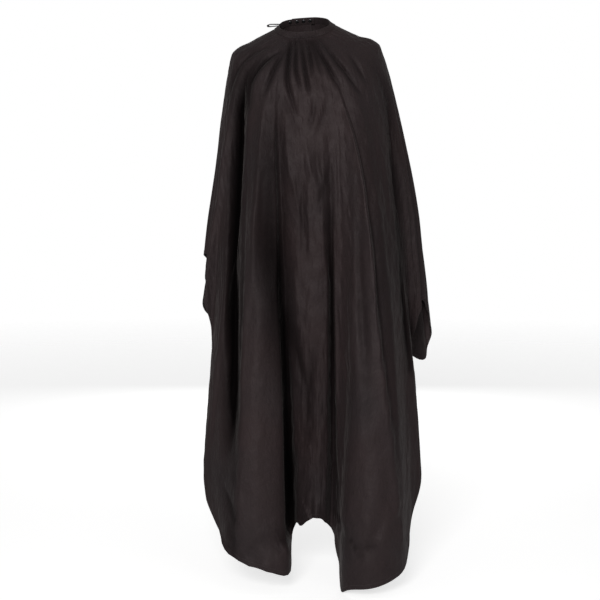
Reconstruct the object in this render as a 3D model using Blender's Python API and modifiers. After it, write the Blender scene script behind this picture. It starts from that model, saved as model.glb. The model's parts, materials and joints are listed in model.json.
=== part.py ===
"""Barber cape in the shape it takes when it is worn, open underneath, with its back closure fastened.

Frame: metres, +Z up. The origin is on the neckband's top edge in the middle of the front. The front faces -Y and
the closure is at +Y. An angle theta runs round the neck in degrees: 0 is the front, 90 is +X and 180 is the back.
A cloth point is given by theta and by rho, its distance from the neck's centre in the flat, uncut cloth.
Positions in plan are measured from the neck's centre.
"""

import math

import bmesh
import bpy
from mathutils import Matrix, Vector

MM = 0.001

# The flat cloth: a rectangle with rounded corners, measured from the neck's centre. Its half widths are given in
# front and behind, where it is a little wider, and its front hem rises a little in the middle.
HALF_WIDTH_LEFT = (0.66, 0.69)
HALF_WIDTH_RIGHT = (0.78, 0.83)
WIDENS_FROM = 60
WIDENS_OVER = 50
FRONT_LENGTH = 1.24
BACK_LENGTH = 0.57
CORNER_POWER_LEFT = 10
CORNER_POWER_RIGHT = 11
MIDDLE_RISE = 0.016
MIDDLE_REACH = 19
MIDDLE_POWER = 6
CLOTH = 1.0 * MM
HEM_WIDTH = 12 * MM
HEM_STEP = 1.5 * MM
HEM_CLOTH = 1.8 * MM
GAP = 0.3 * MM

# The neckband, a strip folded over the cloth's top edge. It leans forward and a little to one side.
NECK_RADIUS = 60 * MM
NECK_BACK_POWER = 3
BAND_HEIGHT = 15 * MM
BAND_LAYER = 0.6 * MM
BAND_HALF_GAP = 1.1 * MM
BAND_HALF = BAND_HALF_GAP + BAND_LAYER / 2
BAND_TILT = math.radians(22)
BAND_ROLL = math.radians(4)
SEAM_ALLOWANCE = 5 * MM

# The back opening: two flaps that fold open, the over flap at +X on top of the under flap.
HINGE_ANGLE = 140
BACK_FLARE = 0.30
CONE_BLEND = 22
OVER_EDGE = 171
UNDER_EDGE = 195
HINGE_GAP = 1.5 * MM
CLOSURE_LIFT = 2.85 * MM
LIFT_RAMP = 22

# The snaps, by how far each stands to +X of the back's middle.
SNAP_PITCH = 16 * MM
STUD_X = [-3 * MM + SNAP_PITCH * step for step in (-2, -1, 0, 1)]
SOCKET_X = STUD_X[1:3]
SNAP_HEIGHT = 8.5 * MM
TAB_HINGE_X = 9 * MM
TAB_END_X = -31 * MM
UNDER_END_X = 23 * MM
SHANK_HOLE_RADIUS = 1.6 * MM
# Turned profiles in millimetres, (radius, height), from the top down the outer side. A shank goes through the band
# and ends flush with its far face.
SHANK_END = -2 * BAND_HALF / MM - 0.3
STUD_PROFILE = [(0, 2.2), (1.2, 2.2), (1.8, 1.8), (1.8, 1.3), (1.5, 0.9), (1.5, 0.5), (4.4, 0.5), (4.6, 0.3),
                (4.6, 0), (0, 0)]
POST_PROFILE = [(0, 0.8), (3.4, 0.7), (4.2, 0.25), (4.0, 0), (1.3, 0), (1.3, SHANK_END), (0, SHANK_END)]
SOCKET_PROFILE = [(2.6, 0), (2.6, 1.5), (4.6, 1.5), (5.0, 1.1), (5.0, 0.3), (4.7, 0)]
CAP_PROFILE = [(0, 1.3), (1.8, 1.2), (3.6, 0.9), (4.9, 0.4), (5.2, 0), (1.3, 0), (1.3, SHANK_END), (0, SHANK_END)]

# The hanging loop: two layers of tape that part towards a rounded far end.
LOOP_ANGLE = -130
LOOP_WIDTH = 9 * MM
LOOP_LENGTH = 46 * MM
LOOP_HALF_OPEN = 2.6 * MM
LOOP_FALL = math.radians(8)
LOOP_TAPE = 0.8 * MM
LOOP_ROOT_OUT = BAND_HALF + 1.9 * MM
LOOP_ROOT_HEIGHT = 6 * MM

# The elastic inside the band, the blank label inside the neck, and the seam's thread.
ELASTIC_REACH = 62
ELASTIC_LOW = 6.5 * MM
ELASTIC_HIGH = 13 * MM
ELASTIC_TAPE = 0.9 * MM
LABEL_ANGLE = -60
LABEL_WIDTH = 26 * MM
LABEL_TOP = 3 * MM
LABEL_BOTTOM = -30 * MM
LABEL_CLOTH = 0.4 * MM
THREAD_RADIUS = 0.25 * MM
SEAM_HEIGHT = 2 * MM

# Plan of the body under the cloth: (rho, half width), (rho, front depth), the right shoulder's slope, and the lean
# to +X.
SIDE_PROFILE = [(0.06, 0.060), (0.12, 0.118), (0.19, 0.178), (0.24, 0.189), (0.32, 0.199), (0.44, 0.217),
                (0.67, 0.254), (0.85, 0.272), (1.45, 0.280)]
FRONT_PROFILE = [(0.06, 0.060), (0.12, 0.085), (0.19, 0.118), (0.32, 0.150), (0.60, 0.168), (1.45, 0.185)]
BACK_PROFILE = [(0.06, 0.060), (0.12, 0.084), (0.19, 0.112), (0.32, 0.145), (0.60, 0.170), (1.45, 0.190)]
SHOULDER_SLOPE = 0.018
SHOULDER_AT = 0.15
SHOULDER_REACH = 0.07
LEAN = 0.042
LEAN_FROM = 0.10
# (theta in the flat cloth, theta round the body): the front is spread wider than the sides.
SPREAD = [(0, 0), (30, 42), (60, 71), (90, 94), (140, 140), (200, 200)]

# The hem's folds in plan: (theta, x, y). They fade in from the shoulders down.
HEM_PLAN = [
    (-140, -0.200, 0.200), (-131, -0.262, 0.165), (-121, -0.335, 0.085), (-106, -0.278, 0.070),
    (-92, -0.272, 0.020), (-78, -0.246, 0.045), (-62, -0.281, 0.020), (-50, -0.264, 0.030),
    (-42, -0.271, -0.015), (-36, -0.268, -0.065), (-31.8, -0.244, -0.095), (-29.8, -0.208, -0.150),
    (-27.8, -0.172, -0.208), (-25.5, -0.104, -0.235), (-23.2, -0.037, -0.215), (-21.5, -0.034, -0.125),
    (-20, -0.031, -0.085), (-14, -0.013, -0.110), (-3, 0.018, -0.135), (8, 0.046, -0.135),
    (14, 0.062, -0.105), (21.5, 0.080, -0.150), (26.8, 0.096, -0.230), (29.5, 0.150, -0.260),
    (33, 0.226, -0.222), (34.8, 0.244, -0.165), (37.5, 0.260, -0.105), (41, 0.288, -0.060),
    (48, 0.276, 0.000), (60, 0.250, 0.045), (74, 0.274, 0.005), (90, 0.280, 0.045),
    (106, 0.342, 0.060), (121, 0.338, 0.100), (131, 0.265, 0.150), (140, 0.200, 0.200),
]
FOLDS_FROM = 0.16
FOLDS_FULL = 1.25
FOLDS_POWER = 1.15
FLAP_SWELL = 0.030

COLUMNS_PER_FOLD = 3
PANEL_ROWS = 13
FLAP_ROWS = 8
ROW_SPACING = 1.25
FLAP_COLUMNS = 7

BLACK_CLOTH = ("black_polyester", (0.022, 0.018, 0.018), 0.62, 0.0)
BAND_CLOTH = ("neckband_cloth", (0.020, 0.017, 0.017), 0.68, 0.0)
TAPE = ("woven_tape", (0.030, 0.028, 0.028), 0.80, 0.0)
THREAD = ("sewing_thread", (0.035, 0.032, 0.032), 0.60, 0.0)
ELASTIC = ("elastic_tape", (0.60, 0.59, 0.56), 0.85, 0.0)
LABEL = ("label_satin", (0.75, 0.74, 0.72), 0.45, 0.0)
SNAP_METAL = ("snap_metal", (0.10, 0.10, 0.11), 0.32, 1.0)


# ---- interpolation ----------------------------------------------------------------------------------------------


def eased(value):
    """0 below 0, 1 above 1, and a smooth step between."""
    t = min(1.0, max(0.0, value))
    return t * t * (3 - 2 * t)


def through(knots, at):
    """A smooth curve through knots, which are tuples of a position and one or more values. It gives the values."""
    at = min(knots[-1][0], max(knots[0][0], at))
    last = len(knots) - 1
    i = next(k for k in range(last) if at <= knots[k + 1][0])
    before, start, end, after = (knots[min(last, max(0, k))] for k in (i - 1, i, i + 1, i + 2))
    span = end[0] - start[0]
    t = (at - start[0]) / span
    values = []
    for a, b, c, d in zip(before[1:], start[1:], end[1:], after[1:]):
        slope_b = (c - a) / (end[0] - before[0]) * span
        slope_c = (d - b) / (after[0] - start[0]) * span
        values.append(
            b * (1 + 2 * t) * (1 - t) ** 2 + slope_b * t * (1 - t) ** 2
            + c * t * t * (3 - 2 * t) - slope_c * t * t * (1 - t)
        )
    return values


def steps_between(start, end, count):
    return [start + (end - start) * step / count for step in range(count + 1)]


# ---- the neck ring ----------------------------------------------------------------------------------------------

LEAN_OF_RING = Matrix.Rotation(BAND_TILT, 4, "X") @ Matrix.Rotation(-BAND_ROLL, 4, "Y")
RIM = LEAN_OF_RING @ Vector((0, -NECK_RADIUS, BAND_HEIGHT + BAND_LAYER / 2))
RING = Matrix.Translation(-RIM) @ LEAN_OF_RING
CENTRE = RING.translation.xy


def neck_radius(theta):
    """A circle in front and a flatter curve at the back, where the snaps are."""
    if abs(theta) <= 90:
        return NECK_RADIUS
    s, c = abs(math.sin(math.radians(theta))), abs(math.cos(math.radians(theta)))
    return NECK_RADIUS / (s**NECK_BACK_POWER + c**NECK_BACK_POWER) ** (1 / NECK_BACK_POWER)


def layer_lift(theta):
    """How far the over layer stands outside the neck ring's line, or the under layer inside it."""
    lift = CLOSURE_LIFT * eased((abs(theta) - HINGE_ANGLE) / LIFT_RAMP)
    return math.copysign(lift, theta)


def ring_point(theta, out, height):
    """A point of the neck ring, at a distance out from its middle line and height above its lower edge."""
    r = neck_radius(theta) + layer_lift(theta) + out
    a = math.radians(theta)
    return RING @ Vector((r * math.sin(a), -r * math.cos(a), height))


def theta_at(x, side):
    """The angle at which the closure's layer on that side stands at x, near the middle of the back."""
    low, high = 90.0, 260.0
    for _ in range(50):
        middle = (low + high) / 2
        r = neck_radius(middle) + side * CLOSURE_LIFT
        if r * math.sin(math.radians(middle)) > x * side:
            low = middle
        else:
            high = middle
    return side * low


# ---- the cloth --------------------------------------------------------------------------------------------------


def hem_rho(theta):
    """Distance from the neck's centre to the flat cloth's edge, in the direction theta."""
    s, c = math.sin(math.radians(theta)), math.cos(math.radians(theta))
    half_widths, power = (HALF_WIDTH_RIGHT, CORNER_POWER_RIGHT) if s > 0 else (HALF_WIDTH_LEFT, CORNER_POWER_LEFT)
    widening = eased((abs(theta) - WIDENS_FROM) / WIDENS_OVER)
    half_width = half_widths[0] + (half_widths[1] - half_widths[0]) * widening
    front_length = FRONT_LENGTH - MIDDLE_RISE * math.exp(-((theta / MIDDLE_REACH) ** MIDDLE_POWER))
    length = front_length if c > 0 else BACK_LENGTH
    return (abs(s / half_width) ** power + abs(c / length) ** power) ** (-1 / power)


def body_plan(theta, rho):
    """Where the cloth would be in plan if it had no folds."""
    around = math.copysign(through(SPREAD, abs(theta))[0], theta)
    s, c = math.sin(math.radians(around)), math.cos(math.radians(around))
    depth_profile = FRONT_PROFILE if c > 0 else BACK_PROFILE
    half_width, depth = through(SIDE_PROFILE, rho)[0], through(depth_profile, rho)[0]
    slope = SHOULDER_SLOPE * math.exp(-(((rho - SHOULDER_AT) / SHOULDER_REACH) ** 2)) * max(0.0, s)
    r = (1 - slope) / math.hypot(s / half_width, c / depth)
    return Vector((r * s + LEAN * max(0.0, rho - LEAN_FROM), -r * c))


def cloth_plan(theta, rho):
    """Where the cloth is in plan, with its folds. Each back flap is a cone whose hinge line is straight."""
    start = ring_point(theta, 0, 0).xy - CENTRE
    if abs(theta) < HINGE_ANGLE:
        folded = body_plan(theta, rho) - body_plan(theta, NECK_RADIUS) + start
        amount = max(0.0, (rho - FOLDS_FROM) / (FOLDS_FULL - FOLDS_FROM)) ** FOLDS_POWER
        hem = Vector(through(HEM_PLAN, theta))
        folded = folded.lerp(hem, min(1.0, amount))
    else:
        folded = start
    s, c = math.sin(math.radians(theta)), math.cos(math.radians(theta))
    round_flap = min(1.0, max(0.0, (abs(theta) - HINGE_ANGLE) / (180 - HINGE_ANGLE)))
    flare = BACK_FLARE + FLAP_SWELL * math.sin(math.pi * round_flap)
    cone = start + Vector((s, -c)) * flare * (rho - NECK_RADIUS)
    return folded.lerp(cone, eased((abs(theta) - HINGE_ANGLE + CONE_BLEND) / CONE_BLEND))


def cloth_line(theta, stations):
    """The cloth's points at the rho values in stations, from the neckband down one line of constant theta."""
    step = 0.01
    point = ring_point(theta, 0, 0)
    plan, z, rho = point.xy - CENTRE, point.z, NECK_RADIUS
    points = []
    for station in stations:
        while rho < station - 1e-9:
            ahead = min(rho + step, station)
            moved = cloth_plan(theta, ahead)
            run = min((moved - plan).length, 0.985 * (ahead - rho))
            z -= math.sqrt((ahead - rho) ** 2 - run**2)
            plan, rho = moved, ahead
        points.append(Vector((plan.x + CENTRE.x, plan.y + CENTRE.y, z)))
    return points


def cloth_grid(thetas, rows):
    """Lines of cloth points for each theta, each from inside the neckband to the hem's folded edge."""
    grid = []
    for theta in thetas:
        fold = hem_rho(theta) - HEM_WIDTH
        stations = [NECK_RADIUS + (fold - NECK_RADIUS) * (row / rows) ** ROW_SPACING for row in range(1, rows + 1)]
        stations += [fold + HEM_STEP, hem_rho(theta)]
        tucked = [ring_point(theta, 0, SEAM_ALLOWANCE), ring_point(theta, 0, -0.5 * MM)]
        grid.append(tucked + cloth_line(theta, stations))
    return grid


def with_folded_edge(grid):
    """The grid with two more lines, which set the folded strip along its last line apart."""
    edge, before = grid[-1], grid[-2]
    strip = []
    for reach in (HEM_WIDTH, HEM_WIDTH - HEM_STEP):
        strip.append([b + (a - b).normalized() * ((a - b).length - min(reach, 0.7 * (a - b).length))
                      for a, b in zip(edge, before)])
    return grid[:-1] + strip + [edge]


def hinge_tangent(side):
    """Unit vector along the neck ring at a flap's hinge, towards the back's middle."""
    ahead = ring_point(side * (HINGE_ANGLE + 0.5), 0, 0)
    behind = ring_point(side * (HINGE_ANGLE - 0.5), 0, 0)
    return (ahead - behind).normalized()


# ---- objects ----------------------------------------------------------------------------------------------------


def collection(name):
    made = bpy.data.collections.new(name)
    bpy.context.scene.collection.children.link(made)
    return made


def clear_scene():
    for old in list(bpy.data.objects):
        bpy.data.objects.remove(old)


def material(spec):
    name, colour, roughness, metallic = spec
    made = bpy.data.materials.get(name)
    if made is None:
        made = bpy.data.materials.new(name)
        made.use_nodes = True
        shader = made.node_tree.nodes["Principled BSDF"]
        shader.inputs["Base Color"].default_value = (*colour, 1.0)
        shader.inputs["Roughness"].default_value = roughness
        shader.inputs["Metallic"].default_value = metallic
    return made


def add_object(name, data, spec, parent=None):
    made = bpy.data.objects.new(name, data)
    PARTS.objects.link(made)
    made.parent = parent
    data.materials.append(material(spec))
    return made


def hinge(name, location):
    """An empty on a joint's axis, to which the pieces that turn are parented."""
    made = bpy.data.objects.new(name, None)
    PARTS.objects.link(made)
    made.location = location
    return made


def placed(location, out):
    """A placement at location whose Z points along out."""
    return Matrix.Translation(location) @ out.to_track_quat("Z", "Y").to_matrix().to_4x4()


def sheet(name, grid, thickness, spec, parent=None):
    """A cloth piece: an open surface lofted through a grid of points, made solid by a Solidify modifier.

    The points are world points, and the piece's origin is its parent's, so that it turns about the parent's axis.
    """
    origin = parent.matrix_world.inverted() if parent else Matrix.Identity(4)
    shape = bmesh.new()
    columns = [[shape.verts.new(origin @ point) for point in line] for line in grid]
    for line, following in zip(columns, columns[1:]):
        for row in range(len(line) - 1):
            shape.faces.new((line[row], line[row + 1], following[row + 1], following[row]))
    mesh = bpy.data.meshes.new(name)
    shape.to_mesh(mesh)
    shape.free()
    mesh.shade_smooth()
    made = add_object(name, mesh, spec, parent)
    solidify = made.modifiers.new("thickness", "SOLIDIFY")
    solidify.thickness = thickness
    solidify.offset = 0
    solidify.use_even_offset = True
    return made


def turned(name, profile, spec, parent, location, out, steps=14):
    """A round part turned about its own Z, which points along out. Its profile starts and ends on the axis, or
    closes into a ring."""
    mesh = bpy.data.meshes.new(name)
    edges = [(i, i + 1) for i in range(len(profile) - 1)]
    if profile[0][0] > 0:
        edges.append((len(profile) - 1, 0))
    mesh.from_pydata([(r * MM, 0, h * MM) for r, h in profile], edges, [])
    made = add_object(name, mesh, spec, parent)
    made.matrix_parent_inverse = parent.matrix_world.inverted()
    made.matrix_basis = placed(location, out)
    screw = made.modifiers.new("turn", "SCREW")
    screw.steps = screw.render_steps = steps
    screw.use_merge_vertices = True
    screw.merge_threshold = 0.00002
    screw.use_smooth_shade = True
    return made


# ---- sub-parts --------------------------------------------------------------------------------------------------


def cape_panels():
    """The cloth: the body with its front and sides, and the two back flaps. Their edges are folded double."""
    knots = [knot[0] for knot in HEM_PLAN]
    thetas = [
        a + (b - a) * step / COLUMNS_PER_FOLD for a, b in zip(knots, knots[1:]) for step in range(COLUMNS_PER_FOLD)
    ] + [knots[-1]]
    body = cloth_grid(thetas, PANEL_ROWS)
    body[0] = [point - hinge_tangent(-1) * HINGE_GAP for point in body[0]]
    body[-1] = [point - hinge_tangent(1) * HINGE_GAP for point in body[-1]]
    hemmed(sheet("cape_body", body, HEM_CLOTH, BLACK_CLOTH), len(body), 0)
    for side, edge, label, parent in ((1, OVER_EDGE, "over", OVER_HINGE), (-1, UNDER_EDGE, "under", UNDER_HINGE)):
        span = steps_between(HINGE_ANGLE, edge, FLAP_COLUMNS)
        flap = with_folded_edge(cloth_grid([side * theta for theta in span], FLAP_ROWS))
        flap[0] = [point + hinge_tangent(side) * HINGE_GAP for point in flap[0]]
        hemmed(sheet(f"back_flap_{label}", flap, HEM_CLOTH, BLACK_CLOTH, parent), len(flap), 2)


def hemmed(panel, lines, edge_lines):
    """Leaves the panel double only in its last two rows, and in its last edge_lines lines."""
    group = panel.vertex_groups.new(name="double")
    rows = len(panel.data.vertices) // lines
    double = [
        line * rows + row for line in range(lines) for row in range(rows)
        if row >= rows - 2 or (line >= lines - edge_lines and row > 2)
    ]
    group.add(double, 1.0, "REPLACE")
    solidify = panel.modifiers["thickness"]
    solidify.vertex_group = group.name
    solidify.thickness_vertex_group = CLOTH / HEM_CLOTH


def band_grid(thetas):
    """The neckband's folded section along the ring: down the outside, over the top and down the inside."""
    section = [(BAND_HALF_GAP, 0), (BAND_HALF_GAP, BAND_HEIGHT), (-BAND_HALF_GAP, BAND_HEIGHT), (-BAND_HALF_GAP, 0)]
    return [[ring_point(theta, out, height) for out, height in section] for theta in thetas]


def neckband():
    """The band in four lengths: the front, one on each flap, and the tab that carries the sockets."""
    inset = math.degrees(HINGE_GAP / NECK_RADIUS)
    front_end = HINGE_ANGLE - inset
    flap_start = HINGE_ANGLE + inset
    tab_start = theta_at(TAB_HINGE_X - HINGE_GAP, 1)
    over_end = theta_at(TAB_HINGE_X + HINGE_GAP, 1)
    sheet("neckband_front", band_grid(steps_between(-front_end, front_end, 57)), BAND_LAYER, BAND_CLOTH)
    over_angles = steps_between(flap_start, over_end, 10)
    tab_angles = steps_between(tab_start, theta_at(TAB_END_X, 1), 14)
    under_angles = steps_between(-flap_start, theta_at(UNDER_END_X, -1), 24)
    sheet("neckband_over", band_grid(over_angles), BAND_LAYER, BAND_CLOTH, OVER_HINGE)
    tab = sheet("neckband_tab", band_grid(tab_angles), BAND_LAYER, BAND_CLOTH, TAB_HINGE)
    under = sheet("neckband_under", band_grid(under_angles), BAND_LAYER, BAND_CLOTH, UNDER_HINGE)
    for index, x in enumerate(SOCKET_X):
        pierce(tab, f"socket_hole_{index + 1}", theta_at(x, 1))
    for index, x in enumerate(STUD_X):
        pierce(under, f"stud_hole_{index + 1}", theta_at(x, -1))


def outward(theta):
    """Unit vector square to the neck ring at theta, away from the neck."""
    ahead = ring_point(theta + 1, 0, 0)
    behind = ring_point(theta - 1, 0, 0)
    up = RING.to_3x3() @ Vector((0, 0, 1))
    return (ahead - behind).normalized().cross(up).normalized()


def pierce(band, name, theta):
    """A hole through both layers of the band for a snap's shank."""
    bpy.ops.mesh.primitive_cylinder_add(vertices=20, radius=SHANK_HOLE_RADIUS, depth=8 * MM)
    cutter = bpy.context.object
    cutter.name = name
    for owner in list(cutter.users_collection):
        owner.objects.unlink(cutter)
    CUTTERS.objects.link(cutter)
    cutter.hide_render = True
    cutter.display_type = "WIRE"
    middle = ring_point(theta, 0, SNAP_HEIGHT)
    cutter.matrix_world = placed(middle, outward(theta))
    cut = band.modifiers.new(name, "BOOLEAN")
    cut.operation = "DIFFERENCE"
    cut.object = cutter


def snaps():
    """Studs and their posts through the under band, sockets and their caps through the tab."""
    for index, x in enumerate(STUD_X):
        fastener(index, theta_at(x, -1), UNDER_HINGE, ("snap_stud", STUD_PROFILE), ("snap_post", POST_PROFILE))
    for index, x in enumerate(SOCKET_X):
        fastener(index, theta_at(x, 1), TAB_HINGE, ("snap_cap", CAP_PROFILE), ("snap_socket", SOCKET_PROFILE))


def fastener(index, theta, parent, outer, inner):
    """The two halves of a snap, on the outer and the inner face of the band at theta."""
    out = outward(theta)
    middle, face = ring_point(theta, 0, SNAP_HEIGHT), out * (BAND_HALF + GAP)
    turned(f"{outer[0]}_{index + 1}", outer[1], SNAP_METAL, parent, middle + face, out)
    turned(f"{inner[0]}_{index + 1}", inner[1], SNAP_METAL, parent, middle - face, -out)


def neck_elastic():
    """The elastic tape that gathers the front, inside the band."""
    thetas = steps_between(-ELASTIC_REACH, ELASTIC_REACH, 30)
    grid = [[ring_point(t, 0, ELASTIC_LOW), ring_point(t, 0, ELASTIC_HIGH)] for t in thetas]
    sheet("neck_elastic", grid, ELASTIC_TAPE, ELASTIC)


def stitching():
    """The seam that closes the band's lower edge over the cloth, one thread on each length of band."""
    inset = math.degrees(2 * HINGE_GAP / NECK_RADIUS)
    tab_start, over_end = (theta_at(TAB_HINGE_X + step * HINGE_GAP, 1) for step in (-2, 2))
    tab_end, under_end = theta_at(TAB_END_X + GAP, 1), theta_at(UNDER_END_X - GAP, -1)
    seam("seam_thread_front", steps_between(-HINGE_ANGLE + inset, HINGE_ANGLE - inset, 56), None)
    seam("seam_thread_over", steps_between(HINGE_ANGLE + inset, over_end, 10), OVER_HINGE)
    seam("seam_thread_tab", steps_between(tab_start, tab_end, 12), TAB_HINGE)
    seam("seam_thread_under", steps_between(-HINGE_ANGLE - inset, under_end, 20), UNDER_HINGE)


def seam(name, thetas, parent):
    """A thread along the outside of the band, near its lower edge."""
    origin = parent.matrix_world.inverted() if parent else Matrix.Identity(4)
    out = BAND_HALF + GAP + THREAD_RADIUS
    curve = bpy.data.curves.new(name, "CURVE")
    curve.dimensions = "3D"
    curve.bevel_depth = THREAD_RADIUS
    curve.bevel_resolution = 0
    curve.use_fill_caps = True
    line = curve.splines.new("POLY")
    line.points.add(len(thetas) - 1)
    for point, theta in zip(line.points, thetas):
        point.co = (*(origin @ ring_point(theta, out, SEAM_HEIGHT)), 1)
    add_object(name, curve, THREAD, parent)


def loop_path():
    """The loop's middle line seen from its edge: (distance from the seam, distance from the loop's axis)."""
    far, half, root = LOOP_LENGTH, LOOP_HALF_OPEN, (LOOP_TAPE + GAP) / 2
    one_side = [(0, root), (0.3 * far, 0.7 * half), (0.7 * far, half), (0.93 * far, half), (far, 0.6 * half)]
    return [(a, -b) for a, b in one_side] + one_side[::-1]


def hang_loop():
    """A tape loop sewn to the band, to hang the cape on a hook. It lies outwards at rest."""
    out = outward(LOOP_ANGLE)
    up = RING.to_3x3() @ Vector((0, 0, 1))
    width = out.cross(up) * (LOOP_WIDTH / 2)
    along = out * math.cos(LOOP_FALL) - up * math.sin(LOOP_FALL)
    across = out * math.sin(LOOP_FALL) + up * math.cos(LOOP_FALL)
    root = loop_root()
    grid = [[root + along * a + across * b - width, root + along * a + across * b + width] for a, b in loop_path()]
    sheet("hang_loop", grid, LOOP_TAPE, TAPE, LOOP_HINGE)


def care_label():
    """A blank satin label sewn inside the band."""
    reach = math.degrees(LABEL_WIDTH / 2 / NECK_RADIUS)
    out = -BAND_HALF - GAP - LABEL_CLOTH / 2
    thetas = steps_between(LABEL_ANGLE - reach, LABEL_ANGLE + reach, 6)
    grid = [[ring_point(t, out, LABEL_TOP), ring_point(t, out, LABEL_BOTTOM)] for t in thetas]
    sheet("care_label", grid, LABEL_CLOTH, LABEL)


def flap_axis(side):
    """(point, unit vector) of a flap's hinge line, which runs down the flap's first line of cloth."""
    theta = side * HINGE_ANGLE
    top, low = cloth_line(theta, [NECK_RADIUS, hem_rho(theta)])
    return top + outward(theta) * (BAND_HALF + 0.2 * MM), (low - top).normalized()


def tab_axis():
    theta = theta_at(TAB_HINGE_X, 1)
    return ring_point(theta, BAND_HALF + 0.2 * MM, 0), RING.to_3x3() @ Vector((0, 0, 1))


def loop_root():
    return ring_point(LOOP_ANGLE, LOOP_ROOT_OUT, LOOP_ROOT_HEIGHT)


clear_scene()
PARTS = collection("barber_cape")
CUTTERS = collection("cutters")
OVER_HINGE = hinge("over_flap_hinge", flap_axis(1)[0])
UNDER_HINGE = hinge("under_flap_hinge", flap_axis(-1)[0])
TAB_HINGE = hinge("tab_hinge", tab_axis()[0])
LOOP_HINGE = hinge("loop_hinge", loop_root())
bpy.context.view_layer.update()

cape_panels()
neckband()
snaps()
neck_elastic()
stitching()
hang_loop()
care_label()
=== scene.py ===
"""The looks of a barber cape in black polyester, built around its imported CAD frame.

Everything is in metres in the frame of the CAD: +Z up, the front faces -Y, the back closure is at +Y, and
the origin is on the neckband's top edge in the middle of the front. theta runs round the neck in degrees,
with 0 at the front, 90 at +X and 180 at the back. rho is a point's distance from the neck's centre in the
flat, uncut cloth.
"""

import json
import math

import bpy
import numpy as np
from mathutils import Matrix, Vector


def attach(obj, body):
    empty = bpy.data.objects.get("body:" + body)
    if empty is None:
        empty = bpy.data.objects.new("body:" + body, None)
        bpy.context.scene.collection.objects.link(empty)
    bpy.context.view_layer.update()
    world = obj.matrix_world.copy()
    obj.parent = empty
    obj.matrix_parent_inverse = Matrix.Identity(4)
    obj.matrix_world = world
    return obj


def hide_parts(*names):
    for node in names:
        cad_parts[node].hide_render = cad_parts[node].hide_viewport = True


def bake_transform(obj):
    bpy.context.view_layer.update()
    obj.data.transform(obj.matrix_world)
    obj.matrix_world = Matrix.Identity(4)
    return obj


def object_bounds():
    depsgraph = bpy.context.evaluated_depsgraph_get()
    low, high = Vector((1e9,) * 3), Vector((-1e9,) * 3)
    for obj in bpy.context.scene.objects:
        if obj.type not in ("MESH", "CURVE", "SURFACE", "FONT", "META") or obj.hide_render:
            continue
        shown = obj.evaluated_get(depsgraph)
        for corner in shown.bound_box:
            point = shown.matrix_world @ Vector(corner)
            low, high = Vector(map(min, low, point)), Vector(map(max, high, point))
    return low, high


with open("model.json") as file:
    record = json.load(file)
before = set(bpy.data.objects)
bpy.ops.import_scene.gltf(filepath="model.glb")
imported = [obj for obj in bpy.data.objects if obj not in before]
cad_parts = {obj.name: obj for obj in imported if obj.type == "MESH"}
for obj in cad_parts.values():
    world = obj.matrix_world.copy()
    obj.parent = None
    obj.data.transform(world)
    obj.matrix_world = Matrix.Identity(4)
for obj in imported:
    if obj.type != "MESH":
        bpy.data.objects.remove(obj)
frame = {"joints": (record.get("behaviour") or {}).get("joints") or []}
CAD_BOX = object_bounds()

MM = 0.001
SEED = 11

# ---- the flat cloth and the neckband ----

# The sizes follow the CAD, apart from the half widths, the uneven hem and the splay of the band.
# Two half widths are at the front and at the back. Where a value is an angle and a number of degrees, an
# effect ends at that angle from the front and fades over those degrees.
HALF_WIDTH_LEFT = (0.647, 0.670)
HALF_WIDTH_RIGHT = (0.772, 0.823)
WIDENS_FROM = 60
WIDENS_OVER = 50
FRONT_LENGTH = 1.24
BACK_LENGTH = 0.57
CORNER_POWER_LEFT = 10
CORNER_POWER_RIGHT = 11
MIDDLE_RISE = 0.016
MIDDLE_REACH = 19
MIDDLE_POWER = 6
# The hem hangs a little longer or shorter in places: (theta, spread in degrees, how much longer).
HEM_UNEVEN = [
    (-28.2, 1.3, 0.020), (-25.5, 2.0, 0.006), (-23.4, 1.2, 0.021), (-18.0, 3.8, -0.036),
    (17.0, 2.6, -0.008), (24.8, 2.3, 0.034), (33.9, 1.7, 0.028),
]
HEM_WIDTH = 12 * MM

NECK_RADIUS = 60 * MM
NECK_BACK_POWER = 3
BAND_HEIGHT = 15 * MM
BAND_HALF = 1.4 * MM
BAND_WALL = 0.6 * MM
BAND_TILT = math.radians(22)
BAND_ROLL = math.radians(4)
BAND_SPLAY = math.radians(60)
SPLAY_FROM = 10
SPLAY_OVER = 60
SPLAY_UNTIL = (126, 32)
SPLAY_SETTLES = 0.11

HINGE_ANGLE = 140
SPLIT_ANGLE = 128
BACK_FLARE = 0.30
FLAP_SWELL = 0.030
CONE_BLEND = 22
OVER_EDGE = 171
UNDER_EDGE = 195
CLOSURE_LIFT = 2.85 * MM
LIFT_RAMP = 22
TAB_SPLIT = 157
TAB_HINGE_X = 9 * MM
TAB_END_X = -31 * MM
UNDER_END_X = 23 * MM
STUD_X = [-35 * MM, -19 * MM, -3 * MM, 13 * MM]
SOCKET_X = STUD_X[1:3]
SNAP_HEIGHT = 8.5 * MM
SEAM_HEIGHT = 2 * MM

# The body under the cloth, each as (rho, how far it reaches in plan).
SIDE_PROFILE = [
    (0.06, 0.060), (0.12, 0.1225), (0.17, 0.1738), (0.195, 0.183), (0.24, 0.191),
    (0.32, 0.202), (0.44, 0.219), (0.67, 0.254), (0.85, 0.272), (1.45, 0.280),
]
FRONT_PROFILE = [(0.06, 0.060), (0.12, 0.103), (0.19, 0.134), (0.32, 0.160), (0.60, 0.174), (1.45, 0.187)]
BACK_PROFILE = [(0.06, 0.060), (0.12, 0.084), (0.19, 0.112), (0.32, 0.145), (0.60, 0.170), (1.45, 0.190)]
SHOULDER_SLOPE = 0.0165
SHOULDER_AT = 0.18
SHOULDER_REACH = 0.07
LEAN = 0.042
LEAN_FROM = 0.10
# The body's directions in plan for those round the neck, both in degrees from the front.
SPREAD = [(0, 0), (30, 42), (60, 71), (90, 94), (140, 140), (200, 200)]
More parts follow.
